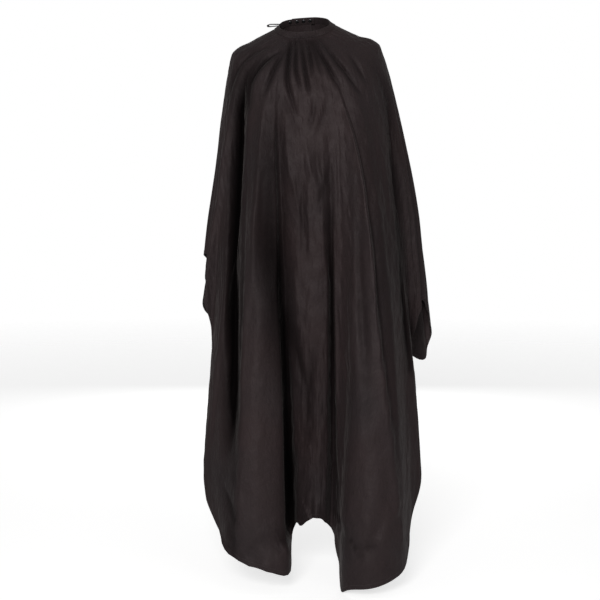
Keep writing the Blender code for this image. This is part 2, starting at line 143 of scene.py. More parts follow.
# Where the hem would be in plan with full folds: (theta, x, y) with x and y in millimetres.
HEM_PLAN = [
    (-140, -200, 200), (-131, -262, 165), (-121, -335, 85), (-106, -278, 70), (-92, -272, 20),
    (-78, -246, 45), (-62, -281, 20), (-50, -264, 30), (-42, -271, -15), (-36, -268, -65),
    (-31.8, -244, -95), (-29.8, -208, -150), (-27.8, -172, -208), (-25.5, -104, -235), (-23.2, -37, -215),
    (-21.5, -34, -125), (-20, -31, -85), (-14, -13, -110), (-3, 18, -135), (8, 46, -135), (14, 62, -105),
    (21.5, 80, -150), (26.8, 96, -230), (29.5, 150, -260), (33, 226, -222), (34.8, 244, -165),
    (37.5, 260, -105), (41, 288, -60), (48, 276, 0), (60, 250, 45), (74, 274, 5), (88, 282, 40),
    (100, 318, 48), (112, 341, 62), (121, 340, 92), (131, 262, 150), (140, 200, 200),
]
MOST_SLOPE = 0.996
FOLDS_FROM = 0.16
FOLDS_FULL = 1.25
FOLDS_POWER = 1.15

# ---- the fine folds ----

# Seeded folds down the front: how many, the range of z for their tops, the range of their lengths, how far
# they may slant for each metre down, and their greatest depth and range of half widths in millimetres.
FAINT_FOLDS = (90, (-0.85, -0.12), (0.12, 0.45), 0.06, 3.2, (4, 10))
HEM_WRINKLES = (60, (-1.22, -1.08), (0.05, 0.11), 0.90, 7.5, (3.5, 7))
FAINT_ACROSS = (-0.22, 0.26)
FAINT_SPREAD = 0.25

# Waves round the neck: their periods in degrees, how deep they are and how far down they reach.
GATHERS = ((6.9, 8.3, 11.3), 1.5 * MM, 0.050)
SMALL_GATHERS = ((3.7, 4.6), 0.6 * MM, 0.018)
SIDE_GATHERS = 0.4
GATHERED_FRONT = (75, 25)
GATHERS_FROM = 0.012
LONG_FOLDS = (9.5, 13.0, 21.0)
LONG_FOLD_DEPTH = 6.8 * MM
LONG_FOLDS_FROM = 0.14
LONG_FOLDS_OVER = 0.5
SIDES_FROM = 40
SIDES_OVER = 30
HINGE_CALM = 6
OVERLAP_CALM = 0.5

# Each fold is the half width of its section and its points (z, x, depth) from the top down, in millimetres.
# The depth is how far it sinks in, or for a ridge how far it stands out.
VALLEYS = [
    # the deep fold between the left arm and the front
    (9, [(-50, -85, 0), (-80, -121, 7), (-122, -144, 14), (-179, -151, 26), (-251, -156, 40),
         (-394, -167, 52), (-491, -172, 50), (-713, -172, 40), (-898, -172, 21), (-1010, -178, 0)]),
    # sweeps over the left shoulder
    (4.2, [(-40, -50, 0), (-62, -82, 8), (-90, -109, 10), (-123, -126, 8), (-200, -132, 0)]),
    (4, [(-36, -40, 0), (-74, -63, 8), (-121, -84, 8), (-160, -96, 0)]),
    (4.5, [(-30, -78, 0), (-48, -118, 5), (-74, -150, 7), (-120, -173, 6), (-190, -188, 0)]),
    # pleats under the band
    (3.8, [(-16, -30, 3), (-40, -34, 9), (-74, -38, 11), (-117, -40, 9), (-168, -28, 5), (-225, -10, 0)]),
    (3.0, [(-16, -19, 3), (-50, -20, 8), (-96, -20, 8), (-150, -6, 0)]),
    (3.2, [(-16, -8, 3), (-74, -2, 9), (-128, 7, 7), (-155, 12, 0)]),
    (3.8, [(-16, 18, 3), (-62, 41, 9), (-102, 63, 8), (-150, 86, 0)]),
    (3.5, [(-16, 5, 3), (-62, 13, 8), (-115, 20, 0)]),
    (3.5, [(-16, 12, 2), (-60, 27, 6), (-110, 41, 0)]),
    (4, [(-16, 32, 2), (-74, 77, 8), (-121, 112, 7), (-155, 131, 0)]),
    (4.5, [(-50, 105, 0), (-84, 124, 6), (-130, 150, 0)]),
    (5, [(-150, 22, 0), (-192, 20, 4), (-245, 6, 0)]),
    # drag lines in the shape of a V on the chest
    (5, [(-140, -56, 0), (-190, -36, 3), (-250, -10, 0)]),
    (5, [(-150, 60, 0), (-200, 44, 3), (-260, 24, 0)]),
    (6, [(-300, 62, 0), (-380, 42, 3), (-450, 22, 0)]),
    # the soft valley inside the left tube and the narrower ones beside the right tube
    (20, [(-150, -75, 0), (-288, -80, 10), (-404, -80, 14), (-519, -78, 16), (-660, -66, 10),
          (-860, -50, 0)]),
    (5, [(-400, 56, 0), (-494, 58, 6), (-631, 63, 9), (-911, 63, 6), (-1150, 66, 0)]),
    # the line along the right arm
    (7, [(-60, 150, 0), (-122, 187, 5), (-167, 199, 8), (-249, 208, 10), (-494, 227, 13), (-720, 246, 14),
         (-800, 254, 8)]),
    # crumples near the hem
    (3.2, [(-1173, -50, 6), (-1193, -55, 6), (-1203, -64, 2)]),
    (3.2, [(-1175, 106, 5), (-1190, 116, 7), (-1203, 127, 2)]),
    (3.2, [(-1183, 155, 4), (-1190, 143, 6), (-1202, 131, 2)]),
    (3.4, [(-1141, 71, 4), (-1163, 83, 6), (-1180, 94, 2)]),
    (3.6, [(-1077, -187, 2), (-1111, -173, 7), (-1132, -159, 3)]),
    # faint ones on the front
    (7, [(-242, 20, 0), (-346, 36, 4), (-480, 52, 0)]),
    (6, [(-240, 55, 0), (-400, 60, 4), (-600, 70, 0)]),
    (8, [(-300, -20, 0), (-438, -4, 5), (-560, 4, 0)]),
    (7, [(-640, -40, 0), (-760, -16, 8), (-860, 4, 0)]),
    (7, [(-700, 30, 0), (-800, 16, 6), (-900, 10, 6), (-1000, 12, 0)]),
    (8, [(-230, 100, 0), (-420, 118, 4), (-700, 136, 5), (-980, 150, 0)]),
]
RIDGES = [
    (9, [(-150, -96, 0), (-193, -100, 6), (-394, -112, 10), (-491, -117, 10), (-640, -128, 0)]),
    (5, [(-196, -43, 0), (-311, -40, 4), (-357, -27, 4), (-460, -8, 0)]),
    (6, [(-230, 4, 0), (-288, 3, 4), (-346, 20, 4), (-430, 38, 0)]),
    (5, [(-240, 40, 0), (-404, 43, 4), (-560, 46, 0)]),
    (5, [(-190, 66, 0), (-357, 71, 4), (-542, 78, 0)]),
    (14, [(-170, 94, 0), (-311, 101, 5), (-605, 107, 9), (-807, 120, 8), (-1010, 129, 0)]),
]
# Folds whose -X side slopes in slowly and whose +X side is steep and painted dark with shade.
SLOPES = [
    (6, [(-420, -60, 0), (-530, -58, 8), (-626, -55, 14), (-861, -41, 22), (-1062, -34, 24),
         (-1190, -30, 18)]),
]
SLOPE_STRETCH = 7
# An edge fold drops off sharply on one side, +1 or -1 towards X. It also has how dark the painted shade at
# its foot is and how far that painted shade reaches, in half widths.
EDGES = [
    (12, [(-260, -128, 0), (-489, -134, 5), (-608, -139, 8), (-784, -147, 8), (-911, -152, 6),
          (-1040, -155, 6)], -1, 0.6, 1.6),
    (14, [(-1000, -153, 0), (-1080, -156, 6), (-1150, -158, 7), (-1220, -158, 5)], -1, 0.5, 2.5),
    (12, [(-400, 68, 0), (-560, 70, 4), (-760, 73, 5), (-980, 80, 5), (-1150, 88, 3)], -1, 0.6, 1.8),
    (15, [(-110, 68, 0), (-173, 88, 4), (-252, 113, 8), (-337, 131, 11), (-442, 145, 13), (-560, 158, 15),
          (-674, 168, 14), (-836, 188, 11), (-936, 202, 9), (-1062, 216, 7),
          (-1190, 228, 5)], 1, 0.5, 5.0),
]
FADE_BELOW = 15 * MM
FADE_ABOVE = 10 * MM
EDGE_RISE = 0.8
EDGE_DROP = 1.6
EDGE_TURN = 0.45
EDGE_FOOT = 0.3
# How much painted shade the material puts in the folds: the depth that is painted dark all over, and the
# spread in half widths.
SHADE_DEPTH = 26 * MM
SHADE_WIDTH = 1.35
SHADE_POWER = 0.75
STEEP_SHADE = 0.7
STEEP_SHARE = 0.75


# ---- interpolation ----


def eased(value):
    t = np.clip(value, 0, 1)
    return t * t * (3 - 2 * t)


def through(knots, at):
    """A smooth curve through knots, each a position and one or more values, at an array of positions."""
    knots = np.array(knots, float)
    place = knots[:, 0]
    at = np.clip(at, place[0], place[-1])
    i = np.clip(np.searchsorted(place, at, side="left") - 1, 0, len(place) - 2)
    before, after = np.maximum(i - 1, 0), np.minimum(i + 2, len(place) - 1)
    span = place[i + 1] - place[i]
    t = (at - place[i]) / span
    values = []
    for value in knots.T[1:]:
        slope_b = (value[i + 1] - value[before]) / (place[i + 1] - place[before]) * span
        slope_c = (value[after] - value[i]) / (place[after] - place[i]) * span
        start = value[i] * (1 + 2 * t) * (1 - t) ** 2 + slope_b * t * (1 - t) ** 2
        values.append(start + value[i + 1] * t * t * (3 - 2 * t) - slope_c * t * t * (1 - t))
    return values


def bell(t):
    return np.exp(-0.5 * t**2)


def unit(vectors):
    return vectors / (np.linalg.norm(vectors, axis=-1, keepdims=True) + 1e-12)


def in_front(theta, until, over):
    """1 round the front, falling to 0 at that angle over that many degrees."""
    return eased((until - np.abs(theta)) / over)


def round_the_neck(theta):
    """Sine and cosine of theta, for directions in plan: (sin, -cos)."""
    a = np.radians(theta)
    return np.sin(a), np.cos(a)


# ---- the neck ring ----

LEAN_OF_RING = Matrix.Rotation(BAND_TILT, 4, "X") @ Matrix.Rotation(-BAND_ROLL, 4, "Y")
RIM = LEAN_OF_RING @ Vector((0, -NECK_RADIUS, BAND_HEIGHT + BAND_WALL / 2))
RING = np.array(Matrix.Translation(-RIM) @ LEAN_OF_RING)
RING_UP = RING[:3, 2]
CENTRE = RING[:2, 3]


def neck_radius(theta):
    s, c = np.abs(round_the_neck(theta))
    back = NECK_RADIUS / (s**NECK_BACK_POWER + c**NECK_BACK_POWER) ** (1 / NECK_BACK_POWER)
    return np.where(np.abs(theta) <= 90, NECK_RADIUS, back)


def layer_lift(theta):
    return np.copysign(CLOSURE_LIFT * eased((np.abs(theta) - HINGE_ANGLE) / LIFT_RAMP), theta)


def band_splay(theta):
    """How far the band turns outwards about its top edge, to lie along the shoulders at the sides."""
    return BAND_SPLAY * eased((np.abs(theta) - SPLAY_FROM) / SPLAY_OVER) * in_front(theta, *SPLAY_UNTIL)


def ring_point(theta, out, height, splay=1.0):
    """Points of the neck ring, at a distance out from its middle line and height above its lower edge."""
    theta = np.asarray(theta, float)
    turn = band_splay(theta) * splay
    below = height - BAND_HEIGHT
    r = neck_radius(theta) + layer_lift(theta) + out * np.cos(turn) - below * np.sin(turn)
    up = BAND_HEIGHT + out * np.sin(turn) + below * np.cos(turn)
    s, c = round_the_neck(theta)
    local = np.stack([r * s, -r * c, np.broadcast_to(up, r.shape)], -1)
    return local @ RING[:3, :3].T + RING[:3, 3]


def upward(theta):
    """Unit vectors along the band's height at theta."""
    return unit(ring_point(theta, 0, MM) - ring_point(theta, 0, 0))


def along_ring(theta, way=1, step=0.5):
    """Unit vectors along the band's lower edge at theta, towards +theta where way is 1."""
    theta = np.asarray(theta, float)
    return unit(ring_point(theta + way * step, 0, 0) - ring_point(theta - way * step, 0, 0))


def outward(theta):
    """Unit vectors square to the band at theta, away from the neck."""
    return unit(np.cross(along_ring(theta, step=1), upward(theta)))


def theta_at(x, side):
    """The angle at which the closure's layer on that side stands at x, near the middle of the back."""
    low, high = 90.0, 260.0
    for _ in range(50):
        middle = (low + high) / 2
        r = float(neck_radius(middle)) + side * CLOSURE_LIFT
        if r * math.sin(math.radians(middle)) > x * side:
            low = middle
        else:
            high = middle
    return side * low


# ---- the draped cloth ----


def hem_rho(theta):
    """Distance from the neck's centre to the flat cloth's edge, in the direction theta."""
    s, c = round_the_neck(theta)
    widening = eased((np.abs(theta) - WIDENS_FROM) / WIDENS_OVER)
    sides = (HALF_WIDTH_LEFT, HALF_WIDTH_RIGHT)
    left, right = (front + (behind - front) * widening for front, behind in sides)
    half = np.where(s > 0, right, left)
    power = np.where(s > 0, CORNER_POWER_RIGHT, CORNER_POWER_LEFT)
    front_length = FRONT_LENGTH - MIDDLE_RISE * np.exp(-((theta / MIDDLE_REACH) ** MIDDLE_POWER))
    for middle, spread, longer in HEM_UNEVEN:
        front_length = front_length + longer * np.exp(-(((theta - middle) / spread) ** 2))
    length = np.where(c > 0, front_length, BACK_LENGTH)
    return (np.abs(s / half) ** power + np.abs(c / length) ** power) ** (-1 / power)


def body_plan(theta, rho):
    """Where the cloth would be in plan if it had no folds."""
    around = np.copysign(through(SPREAD, np.abs(theta))[0], theta)
    s, c = round_the_neck(around)
    half_width = through(SIDE_PROFILE, rho)[0]
    depth = np.where(c > 0, through(FRONT_PROFILE, rho)[0], through(BACK_PROFILE, rho)[0])
    slope = SHOULDER_SLOPE * np.exp(-(((rho - SHOULDER_AT) / SHOULDER_REACH) ** 2)) * np.maximum(0, s)
    r = (1 - slope) / np.hypot(s / half_width, c / depth)
    return np.stack([r * s + LEAN * np.maximum(0, rho - LEAN_FROM), -r * c], -1)


def cloth_plan(theta, rho, folds):
    """Where the cloth is in plan, with folds of the given strength. Each back flap is a cone."""
    start = ring_point(theta, 0, 0)[..., :2] - CENTRE
    upright = ring_point(theta, 0, 0, splay=0.0)[..., :2] - CENTRE
    settled = np.clip((rho - NECK_RADIUS) / SPLAY_SETTLES, 0, 1)[..., None]
    smooth = body_plan(theta, rho) - body_plan(theta, np.full_like(rho, NECK_RADIUS))
    smooth = smooth + start * (1 - settled) + upright * settled
    amount = np.maximum(0, (rho - FOLDS_FROM) / (FOLDS_FULL - FOLDS_FROM)) ** FOLDS_POWER
    amount = np.minimum(1, amount * folds)[..., None]
    folded = smooth * (1 - amount) + np.stack(through(HEM_PLAN, theta), -1) * MM * amount
    s, c = round_the_neck(theta)
    round_flap = np.clip((np.abs(theta) - HINGE_ANGLE) / (180 - HINGE_ANGLE), 0, 1)
    flare = BACK_FLARE + FLAP_SWELL * np.sin(np.pi * round_flap)
    cone = start + np.stack([s, -c], -1) * (flare * (rho - NECK_RADIUS))[..., None]
    to_cone = eased((np.abs(theta) - HINGE_ANGLE + CONE_BLEND) / CONE_BLEND)[..., None]
    return folded * (1 - to_cone) + cone * to_cone


def drape(theta, rho, folds=1.0):
    """Points of the cloth for a grid of theta (down the columns) and rho (along the rows)."""
    plan = cloth_plan(theta, rho, folds)
    length = np.diff(rho, axis=1)
    run = np.minimum(np.linalg.norm(np.diff(plan, axis=1), axis=-1), MOST_SLOPE * length)
    fall = np.cumsum(np.sqrt(length**2 - run**2), axis=1)
    top = ring_point(theta[:, :1], 0, 0)[..., 2]
    z = np.concatenate([top, top - fall], 1)
    return np.concatenate([plan + CENTRE, z[..., None]], -1)


def grid_normals(points):
    """Unit normals of a grid of points whose columns run towards +theta and rows away from the neck."""
    across, down = np.gradient(points, axis=0), np.gradient(points, axis=1)
    return unit(np.cross(down, across))


def fold_section(kind, t, side):
    """The section of one fold, as displacement inwards. t is the distance from its line in half widths."""
    if kind == "valley":
        return bell(t)
    if kind == "slope":
        return bell(np.where(t < 0, t / SLOPE_STRETCH, t))
    if kind == "ridge":
        return -bell(t)
    t = t * side
    near = -np.exp(-np.abs(t) / EDGE_RISE)
    far = np.exp(-t / EDGE_DROP) * 2 * eased(t / EDGE_TURN) - np.exp(-t / EDGE_RISE)
    return np.where(t < 0, near, far)


def front_folds(points):
    """(displacement inwards, painted shade from 0 to 1) from every listed fold, for the cloth's points."""
    x, z = points[..., 0], points[..., 2]
    total, painted_shade = np.zeros(x.shape), np.zeros(x.shape)
    plain = (("valley", VALLEYS), ("ridge", RIDGES), ("slope", SLOPES))
    listed = [(kind, *fold, 1, 0.0, 1.0) for kind, folds in plain for fold in folds]
    listed += [("edge", *fold) for fold in EDGES]
    for kind, width, line, side, dark, reach in listed:
        knots = np.array(line[::-1], float) * MM
        across, depth = through(knots, z)
        slope = (through(knots, z + 2 * MM)[0] - through(knots, z - 2 * MM)[0]) / (4 * MM)
        inside = eased((z - knots[0, 0] + FADE_BELOW) / FADE_BELOW)
        inside = inside * eased((knots[-1, 0] - z + FADE_ABOVE) / FADE_ABOVE)
        t = (x - across) / (width * MM * np.hypot(1, slope))
        strength = np.maximum(depth, 0) * inside
        total += strength * fold_section(kind, t, side)
        # painted shade: the deeper a fold, the darker its colour is painted along it
        shade = np.minimum(1, (strength / SHADE_DEPTH) ** SHADE_POWER)
        if kind == "valley":
            painted_shade += shade * bell(t / SHADE_WIDTH)
        elif kind == "slope":
            slow, quick = bell(t / (STEEP_SHADE * SLOPE_STRETCH)), bell(t / STEEP_SHADE)
            near = (1 - STEEP_SHARE) * slow + STEEP_SHARE * quick
            painted_shade += shade * np.where(t < 0, near, bell(t / SHADE_WIDTH))
        elif kind == "edge":
            foot = eased(t * side / EDGE_FOOT) * np.exp(-np.maximum(0, t * side) / reach)
            painted_shade += dark * strength / knots[:, 2].max() * foot
    return total, np.minimum(1, painted_shade)


def faint_folds(points):
    """Displacement inwards from seeded, faint folds down the front, and short wrinkles near its hem."""
    rng = np.random.default_rng(SEED + 2)
    x, z = points[..., 0], points[..., 2]
    total = np.zeros(x.shape)
    for count, tops, lengths, slants, depths, widths in (FAINT_FOLDS, HEM_WRINKLES):
        for _ in range(count):
            top, length = rng.uniform(*tops), rng.uniform(*lengths)
            across, slant = rng.uniform(*FAINT_ACROSS), rng.uniform(-slants, slants)
            depth, width = rng.uniform(-depths, depths) * MM, rng.uniform(*widths) * MM
            down = (top - z) / length
            line = across * (1 + FAINT_SPREAD * (top - z)) + slant * (top - z)
            along = eased(down / 0.3) * eased((1 - down) / 0.4)
            total += depth * along * bell((x - line) / width)
    return total


def random_wave(rng, theta, periods):
    """A sum of waves round the neck, each of a random phase and strength, between about -1 and 1."""
    total = np.zeros(theta.shape)
    for period in periods:
        phase, strength = rng.uniform(0, 2 * math.pi), rng.uniform(0.6, 1.0)
        total += strength * np.sin(2 * math.pi * theta / period + phase)
    return total / math.sqrt(len(periods))


def fine_folds(theta, rho):
    """Displacement outwards from gathers at the band and soft folds on the sides and back."""
    rng = np.random.default_rng(SEED)
    down = rho - NECK_RADIUS
    round_back = np.where(theta < -HINGE_ANGLE, theta + 360, theta)
    total = 0
    for periods, depth, reach in (GATHERS, SMALL_GATHERS):
        total = total + depth * random_wave(rng, round_back, periods) * np.exp(-down / reach)
    strength = SIDE_GATHERS + (1 - SIDE_GATHERS) * in_front(theta, *GATHERED_FRONT)
    total = total * strength * eased(down / GATHERS_FROM)
    sides = eased((np.abs(theta) - SIDES_FROM) / SIDES_OVER)
    long_folds = random_wave(rng, round_back, LONG_FOLDS)
    total += sides * LONG_FOLD_DEPTH * long_folds * eased((rho - LONG_FOLDS_FROM) / LONG_FOLDS_OVER)
    hinge = 1 - np.exp(-(((np.abs(theta) - HINGE_ANGLE) / HINGE_CALM) ** 2))
    calm_overlap = np.where(np.abs(theta) > HINGE_ANGLE, OVERLAP_CALM, 1.0)
    return total * hinge * calm_overlap


# ---- the cloth's grid ----

# (start and end in degrees, degrees between columns)
COLUMN_SPANS = [
    (-UNDER_EDGE, -HINGE_ANGLE, 2.0), (-HINGE_ANGLE, -SPLIT_ANGLE, 1.5), (-SPLIT_ANGLE, -75, 1.0),
    (-75, 75, 0.42),
    (75, SPLIT_ANGLE, 1.0), (SPLIT_ANGLE, HINGE_ANGLE, 1.5), (HINGE_ANGLE, OVER_EDGE, 2.0),
]
ROWS = 100
ROW_SPACING = 1.3
HEM_ROWS = [0.8 * MM, 1.6 * MM, HEM_WIDTH / 2, HEM_WIDTH - 0.6 * MM, HEM_WIDTH]
CLOTH_HALF = 0.30 * MM
HEM_HALF = 0.85 * MM


def sheet_thetas():
    parts = [np.linspace(a, b, max(1, round((b - a) / step)) + 1)[:-1] for a, b, step in COLUMN_SPANS]
    return np.concatenate(parts + [[COLUMN_SPANS[-1][1]]])


def sheet_rhos(thetas):
    """Rows of rho for each column, from the band to the hem's stitched line and then across the hem."""
    fold = hem_rho(thetas) - HEM_WIDTH
    share = np.linspace(0, 1, ROWS) ** ROW_SPACING
    rows = NECK_RADIUS + (fold[:, None] - NECK_RADIUS) * share
    return np.concatenate([rows, fold[:, None] + np.array(HEM_ROWS)], 1)


def quads(columns, rows, first=0):
    index = first + np.arange(columns * rows).reshape(columns, rows)
    return np.stack([index[:-1, :-1], index[:-1, 1:], index[1:, 1:], index[1:, :-1]], -1).reshape(-1, 4)


def mesh_object(name, points, faces):
    mesh = bpy.data.meshes.new(name)
    mesh.from_pydata(np.asarray(points, float).reshape(-1, 3).tolist(), [], [list(face) for face in faces])
    made = bpy.data.objects.new(name, mesh)
    bpy.context.scene.collection.objects.link(made)
    return made


# The simulation runs on every SIM_STEP-th line of the sheet. Its cloth is cut wider by SIM_GROWTH, and by
# more near the neck. SIM_FREE is how firmly it is held where it is free to move.
SIM_FRAMES = 22
SIM_STEP = 2
SIM_GROWTH = 0.018
SIM_TENSION = 0.006
SIM_FREE = 0.20
SIM_CAP = 10 * MM
SIM_NECK_GROWTH = 1.5
SIM_NECK_REACH = 0.05
SIM_GROWS = (125, 20)
SIM_HELD_TOP = 0.012
SIM_HELD_FROM = 108
SIM_HELD_OVER = 18
SIM_CLOTH = {
    "quality": 5,
    "mass": 0.002,
    "tension_stiffness": 12,
    "compression_stiffness": 12,
    "shear_stiffness": 4,
    "bending_stiffness": 1.5,
    "tension_damping": 5,
    "compression_damping": 5,
    "shear_damping": 5,
    "air_damping": 2,
    "pin_stiffness": 1.0,
}


def simulated_change(points, thetas, rhos):
    """How far each point of a coarse sheet moves in a simulation that turns spare width into ripples."""
    theta = np.broadcast_to(thetas[:, None], rhos.shape)
    columns, rows = rhos.shape
    cloth = mesh_object("sheet_being_draped", points, quads(columns, rows))
    cloth.shape_key_add(name="Basis")
    spare = cloth.shape_key_add(name="spare_width")
    down = rhos - NECK_RADIUS
    growth = SIM_GROWTH * (1 + SIM_NECK_GROWTH * np.exp(-down / SIM_NECK_REACH)) * in_front(theta, *SIM_GROWS)
    grown = points.copy()
    grown[..., :2] += (points[..., :2] - CENTRE) * growth[..., None]
    grown[..., 2] *= 1 - SIM_TENSION
    spare.data.foreach_set("co", grown.astype(np.float32).ravel())
    hold = np.maximum(SIM_FREE, 1 - eased((down - 2 * MM) / SIM_HELD_TOP))
    hold = np.maximum(hold, eased((np.abs(theta) - SIM_HELD_FROM) / SIM_HELD_OVER))
    pins = cloth.vertex_groups.new(name="hold")
    rounded = np.round(hold.ravel(), 2)
    for value in np.unique(rounded):
        pins.add(np.nonzero(rounded == value)[0].tolist(), float(value), "REPLACE")
    drop = cloth.modifiers.new("drape", "CLOTH")
    for name, value in SIM_CLOTH.items():
        setattr(drop.settings, name, value)
    drop.settings.vertex_group_mass = pins.name
    drop.settings.rest_shape_key = spare
    drop.collision_settings.use_collision = False
    drop.collision_settings.use_self_collision = False
    drop.point_cache.frame_end = SIM_FRAMES
    bpy.context.scene.frame_end = SIM_FRAMES
    for step in range(1, SIM_FRAMES + 1):
        bpy.context.scene.frame_set(step)
    result = cloth.evaluated_get(bpy.context.evaluated_depsgraph_get()).to_mesh()
    moved = np.zeros(points.size, np.float32)
    result.vertices.foreach_get("co", moved)
    bpy.context.scene.frame_set(1)
    data = cloth.data
    bpy.data.objects.remove(cloth)
    bpy.data.meshes.remove(data)
    change = moved.reshape(points.shape).astype(float) - points
    distance = np.linalg.norm(change, axis=-1, keepdims=True)
    return change * np.minimum(1, SIM_CAP / np.maximum(distance, 1e-9))


def simulated(points, thetas, rhos):
    """The sheet with the ripples of a simulation of every other line of it."""
    picks = [sorted({*range(0, count, SIM_STEP), count - 1}) for count in (rhos.shape[0], ROWS)]
    columns, rows = picks
    at = np.ix_(columns, rows)
    change = simulated_change(points[at], thetas[columns], rhos[at])
    for axis, pick, count in ((0, columns, rhos.shape[0]), (1, rows, ROWS)):
        flat = np.moveaxis(change, axis, 0)
        shape = flat.shape[1:]
        knots = np.column_stack([pick, flat.reshape(len(pick), -1)])
        change = np.moveaxis(np.stack(through(knots, np.arange(count)), -1).reshape(count, *shape), 0, axis)
    past_hem = np.repeat(change[:, -1:], rhos.shape[1] - ROWS, axis=1)
    return points + np.concatenate([change, past_hem], 1)


FACE_FRONT = np.array([0.35, 1.0, 0.35])
TURNED_FRONT = (100, 40)
LISTED_FRONT = (118, 20)
LISTED_BELOW = 0.010
CALM_FOLDS = 0.35


def draped_sheet():
    """(thetas, rhos, points, normals, painted shade in the folds) of the whole cloth."""
    thetas = sheet_thetas()
    rhos = sheet_rhos(thetas)
    theta = np.broadcast_to(thetas[:, None], rhos.shape).copy()
    points = drape(theta, rhos)
    smooth_normals = grid_normals(drape(theta, rhos, CALM_FOLDS))
    front = in_front(theta, *LISTED_FRONT)
    below_band = eased((rhos - NECK_RADIUS) / LISTED_BELOW)
    listed, painted_shade = front_folds(points)
    towards_front = in_front(theta, *TURNED_FRONT)[..., None]
    direction = unit(smooth_normals * (1 + (FACE_FRONT - 1) * towards_front))
    points = points - direction * (listed * front * below_band)[..., None]
    depth = fine_folds(theta, rhos) - faint_folds(points) * front * below_band
    points = points + smooth_normals * depth[..., None]
    points = simulated(points, thetas, rhos)
    return thetas, rhos, points, grid_normals(points), painted_shade * front * below_band


# ---- meshes ----


def finish_mesh(made, material, uvs=None, values=None, normals=None):
    """Smooth shading, the material, and per-vertex UVs, values and normals for a mesh object."""
    mesh = made.data
    mesh.materials.append(material)
    mesh.shade_smooth()
    if uvs is not None:
        corner = np.zeros(len(mesh.loops), np.int32)
        mesh.loops.foreach_get("vertex_index", corner)
        layer = mesh.uv_layers.new(name="flat_metres")
        layer.data.foreach_set("uv", np.asarray(uvs, np.float32).reshape(-1, 2)[corner].ravel())
    for name, value in (values or {}).items():
        attribute = mesh.attributes.new(name, "FLOAT", "POINT")
        attribute.data.foreach_set("value", np.asarray(value, np.float32).ravel())
    if normals is not None:
        mesh.normals_split_custom_set_from_vertices(np.asarray(normals, float).reshape(-1, 3).tolist())
    return made


def solid_sheet(name, points, normals, half, material, uvs, values):
    """A closed cloth piece: an outer face, an inner face and the rim between them."""
    columns, rows = points.shape[:2]
    count = columns * rows
    both = np.stack([points + normals * half[..., None], points - normals * half[..., None]])
    outer = quads(columns, rows)
    index = np.arange(count).reshape(columns, rows)
    loop = np.concatenate([index[:, 0], index[-1, 1:], index[-2::-1, -1], index[0, -2:0:-1]])
    following = np.roll(loop, -1)
    rim = np.stack([loop, following, following + count, loop + count], -1)
    faces = np.concatenate([outer, outer[:, ::-1] + count, rim])
    if np.sum(grid_normals(points) * normals) < 0:
        faces = faces[:, ::-1]
    made = mesh_object(name, both, faces)
    doubled = {key: np.stack([value, value]) for key, value in values.items()}
    return finish_mesh(made, material, np.stack([uvs, uvs]), doubled, np.stack([normals, -normals]))


def tube_faces(rings, around, first=0):
    """Faces of a closed tube of points: its sides, and a cap over each end."""
    index = first + np.arange(rings * around).reshape(rings, around)
    turned = np.roll(index, -1, axis=1)
    sides = np.stack([index[:-1], turned[:-1], turned[1:], index[1:]], -1).reshape(-1, 4)
    return sides.tolist() + [index[0, ::-1].tolist(), index[-1].tolist()]


def swept(name, sections, material, uvs):
    """A solid swept through a series of closed sections, each the same number of points."""
    made = mesh_object(name, sections, tube_faces(*sections.shape[:2]))
    finish_mesh(made, material, uvs)
    made.data.set_sharp_from_angle(angle=math.radians(50))
    return made


# ---- materials ----


WORN = (0.070, 0.060, 0.058)
WEAR_REACH = 1.6 * MM
HEM_STITCH = 2.6 * MM
SLUB_SIZES = ((900, 45, 1), (40, 1100, 1))
CLOTH_ROUGH = 0.60
WEAVE_PITCH = 0.55 * MM
THREAD_TWIST = 0.45 * MM


def put(tree, node, inputs):
    """Set a node's inputs, each from a number, a tuple or another node's output socket. None leaves it."""
    for name, value in inputs.items():
        if isinstance(value, bpy.types.NodeSocket):
            tree.links.new(value, node.inputs[name])
        elif value is not None:
            node.inputs[name].default_value = value
    return node


def add_node(tree, kind, *inputs, **settings):
    """A shader node with its settings and its first inputs."""
    made = tree.nodes.new("ShaderNode" + kind)
    for key, value in settings.items():
        setattr(made, key, value)
    return put(tree, made, dict(enumerate(inputs)))


def maths(tree, operation, a, b=0.0):
    return add_node(tree, "Math", a, b, operation=operation).outputs[0]


def times(tree, a, b):
    return maths(tree, "MULTIPLY", a, b)


def plus(tree, a, b):
    return maths(tree, "ADD", a, b)


def waves(tree, value, pitch):
    """A sine wave of the value, with that distance between its crests."""
    return maths(tree, "SINE", times(tree, value, 2 * math.pi / pitch))


def mixed(tree, amount, a, b):
    """A colour between a and b."""
    made = add_node(tree, "Mix", data_type="RGBA")
    enabled = [k for k, socket in enumerate(made.inputs) if socket.enabled]
    put(tree, made, dict(zip(enabled, (amount, a, b))))
    return next(s for s in made.outputs if s.enabled)


def brightened(tree, colour, value):
    return put(tree, add_node(tree, "HueSaturation"), {"Value": value, "Color": colour}).outputs[0]


def noise(tree, vector, scale, detail=3.0, roughness=0.5):
    inputs = {"Vector": vector, "Scale": scale, "Detail": detail, "Roughness": roughness}
    return put(tree, add_node(tree, "TexNoise"), inputs).outputs[0]


def stretched(tree, vector, scale):
    """The vector scaled by a factor on each axis."""
    return add_node(tree, "VectorMath", vector, scale, operation="MULTIPLY").outputs[0]


def ramp(tree, value, low, high, to_low=0.0, to_high=1.0):
    return add_node(tree, "MapRange", value, low, high, to_low, to_high, clamp=True).outputs[0]


def bump(tree, height, distance, strength, normal=None):
    inputs = {"Distance": distance, "Strength": strength, "Height": height, "Normal": normal}
    return put(tree, add_node(tree, "Bump"), inputs).outputs[0]


def flat_place(tree):
    """Where the cloth lay when flat, in metres."""
    return add_node(tree, "UVMap", uv_map="flat_metres").outputs[0]


def flat_parts(tree):
    return add_node(tree, "SeparateXYZ", flat_place(tree)).outputs[:2]


def solid_place(tree):
    return add_node(tree, "TexCoord").outputs["Object"]


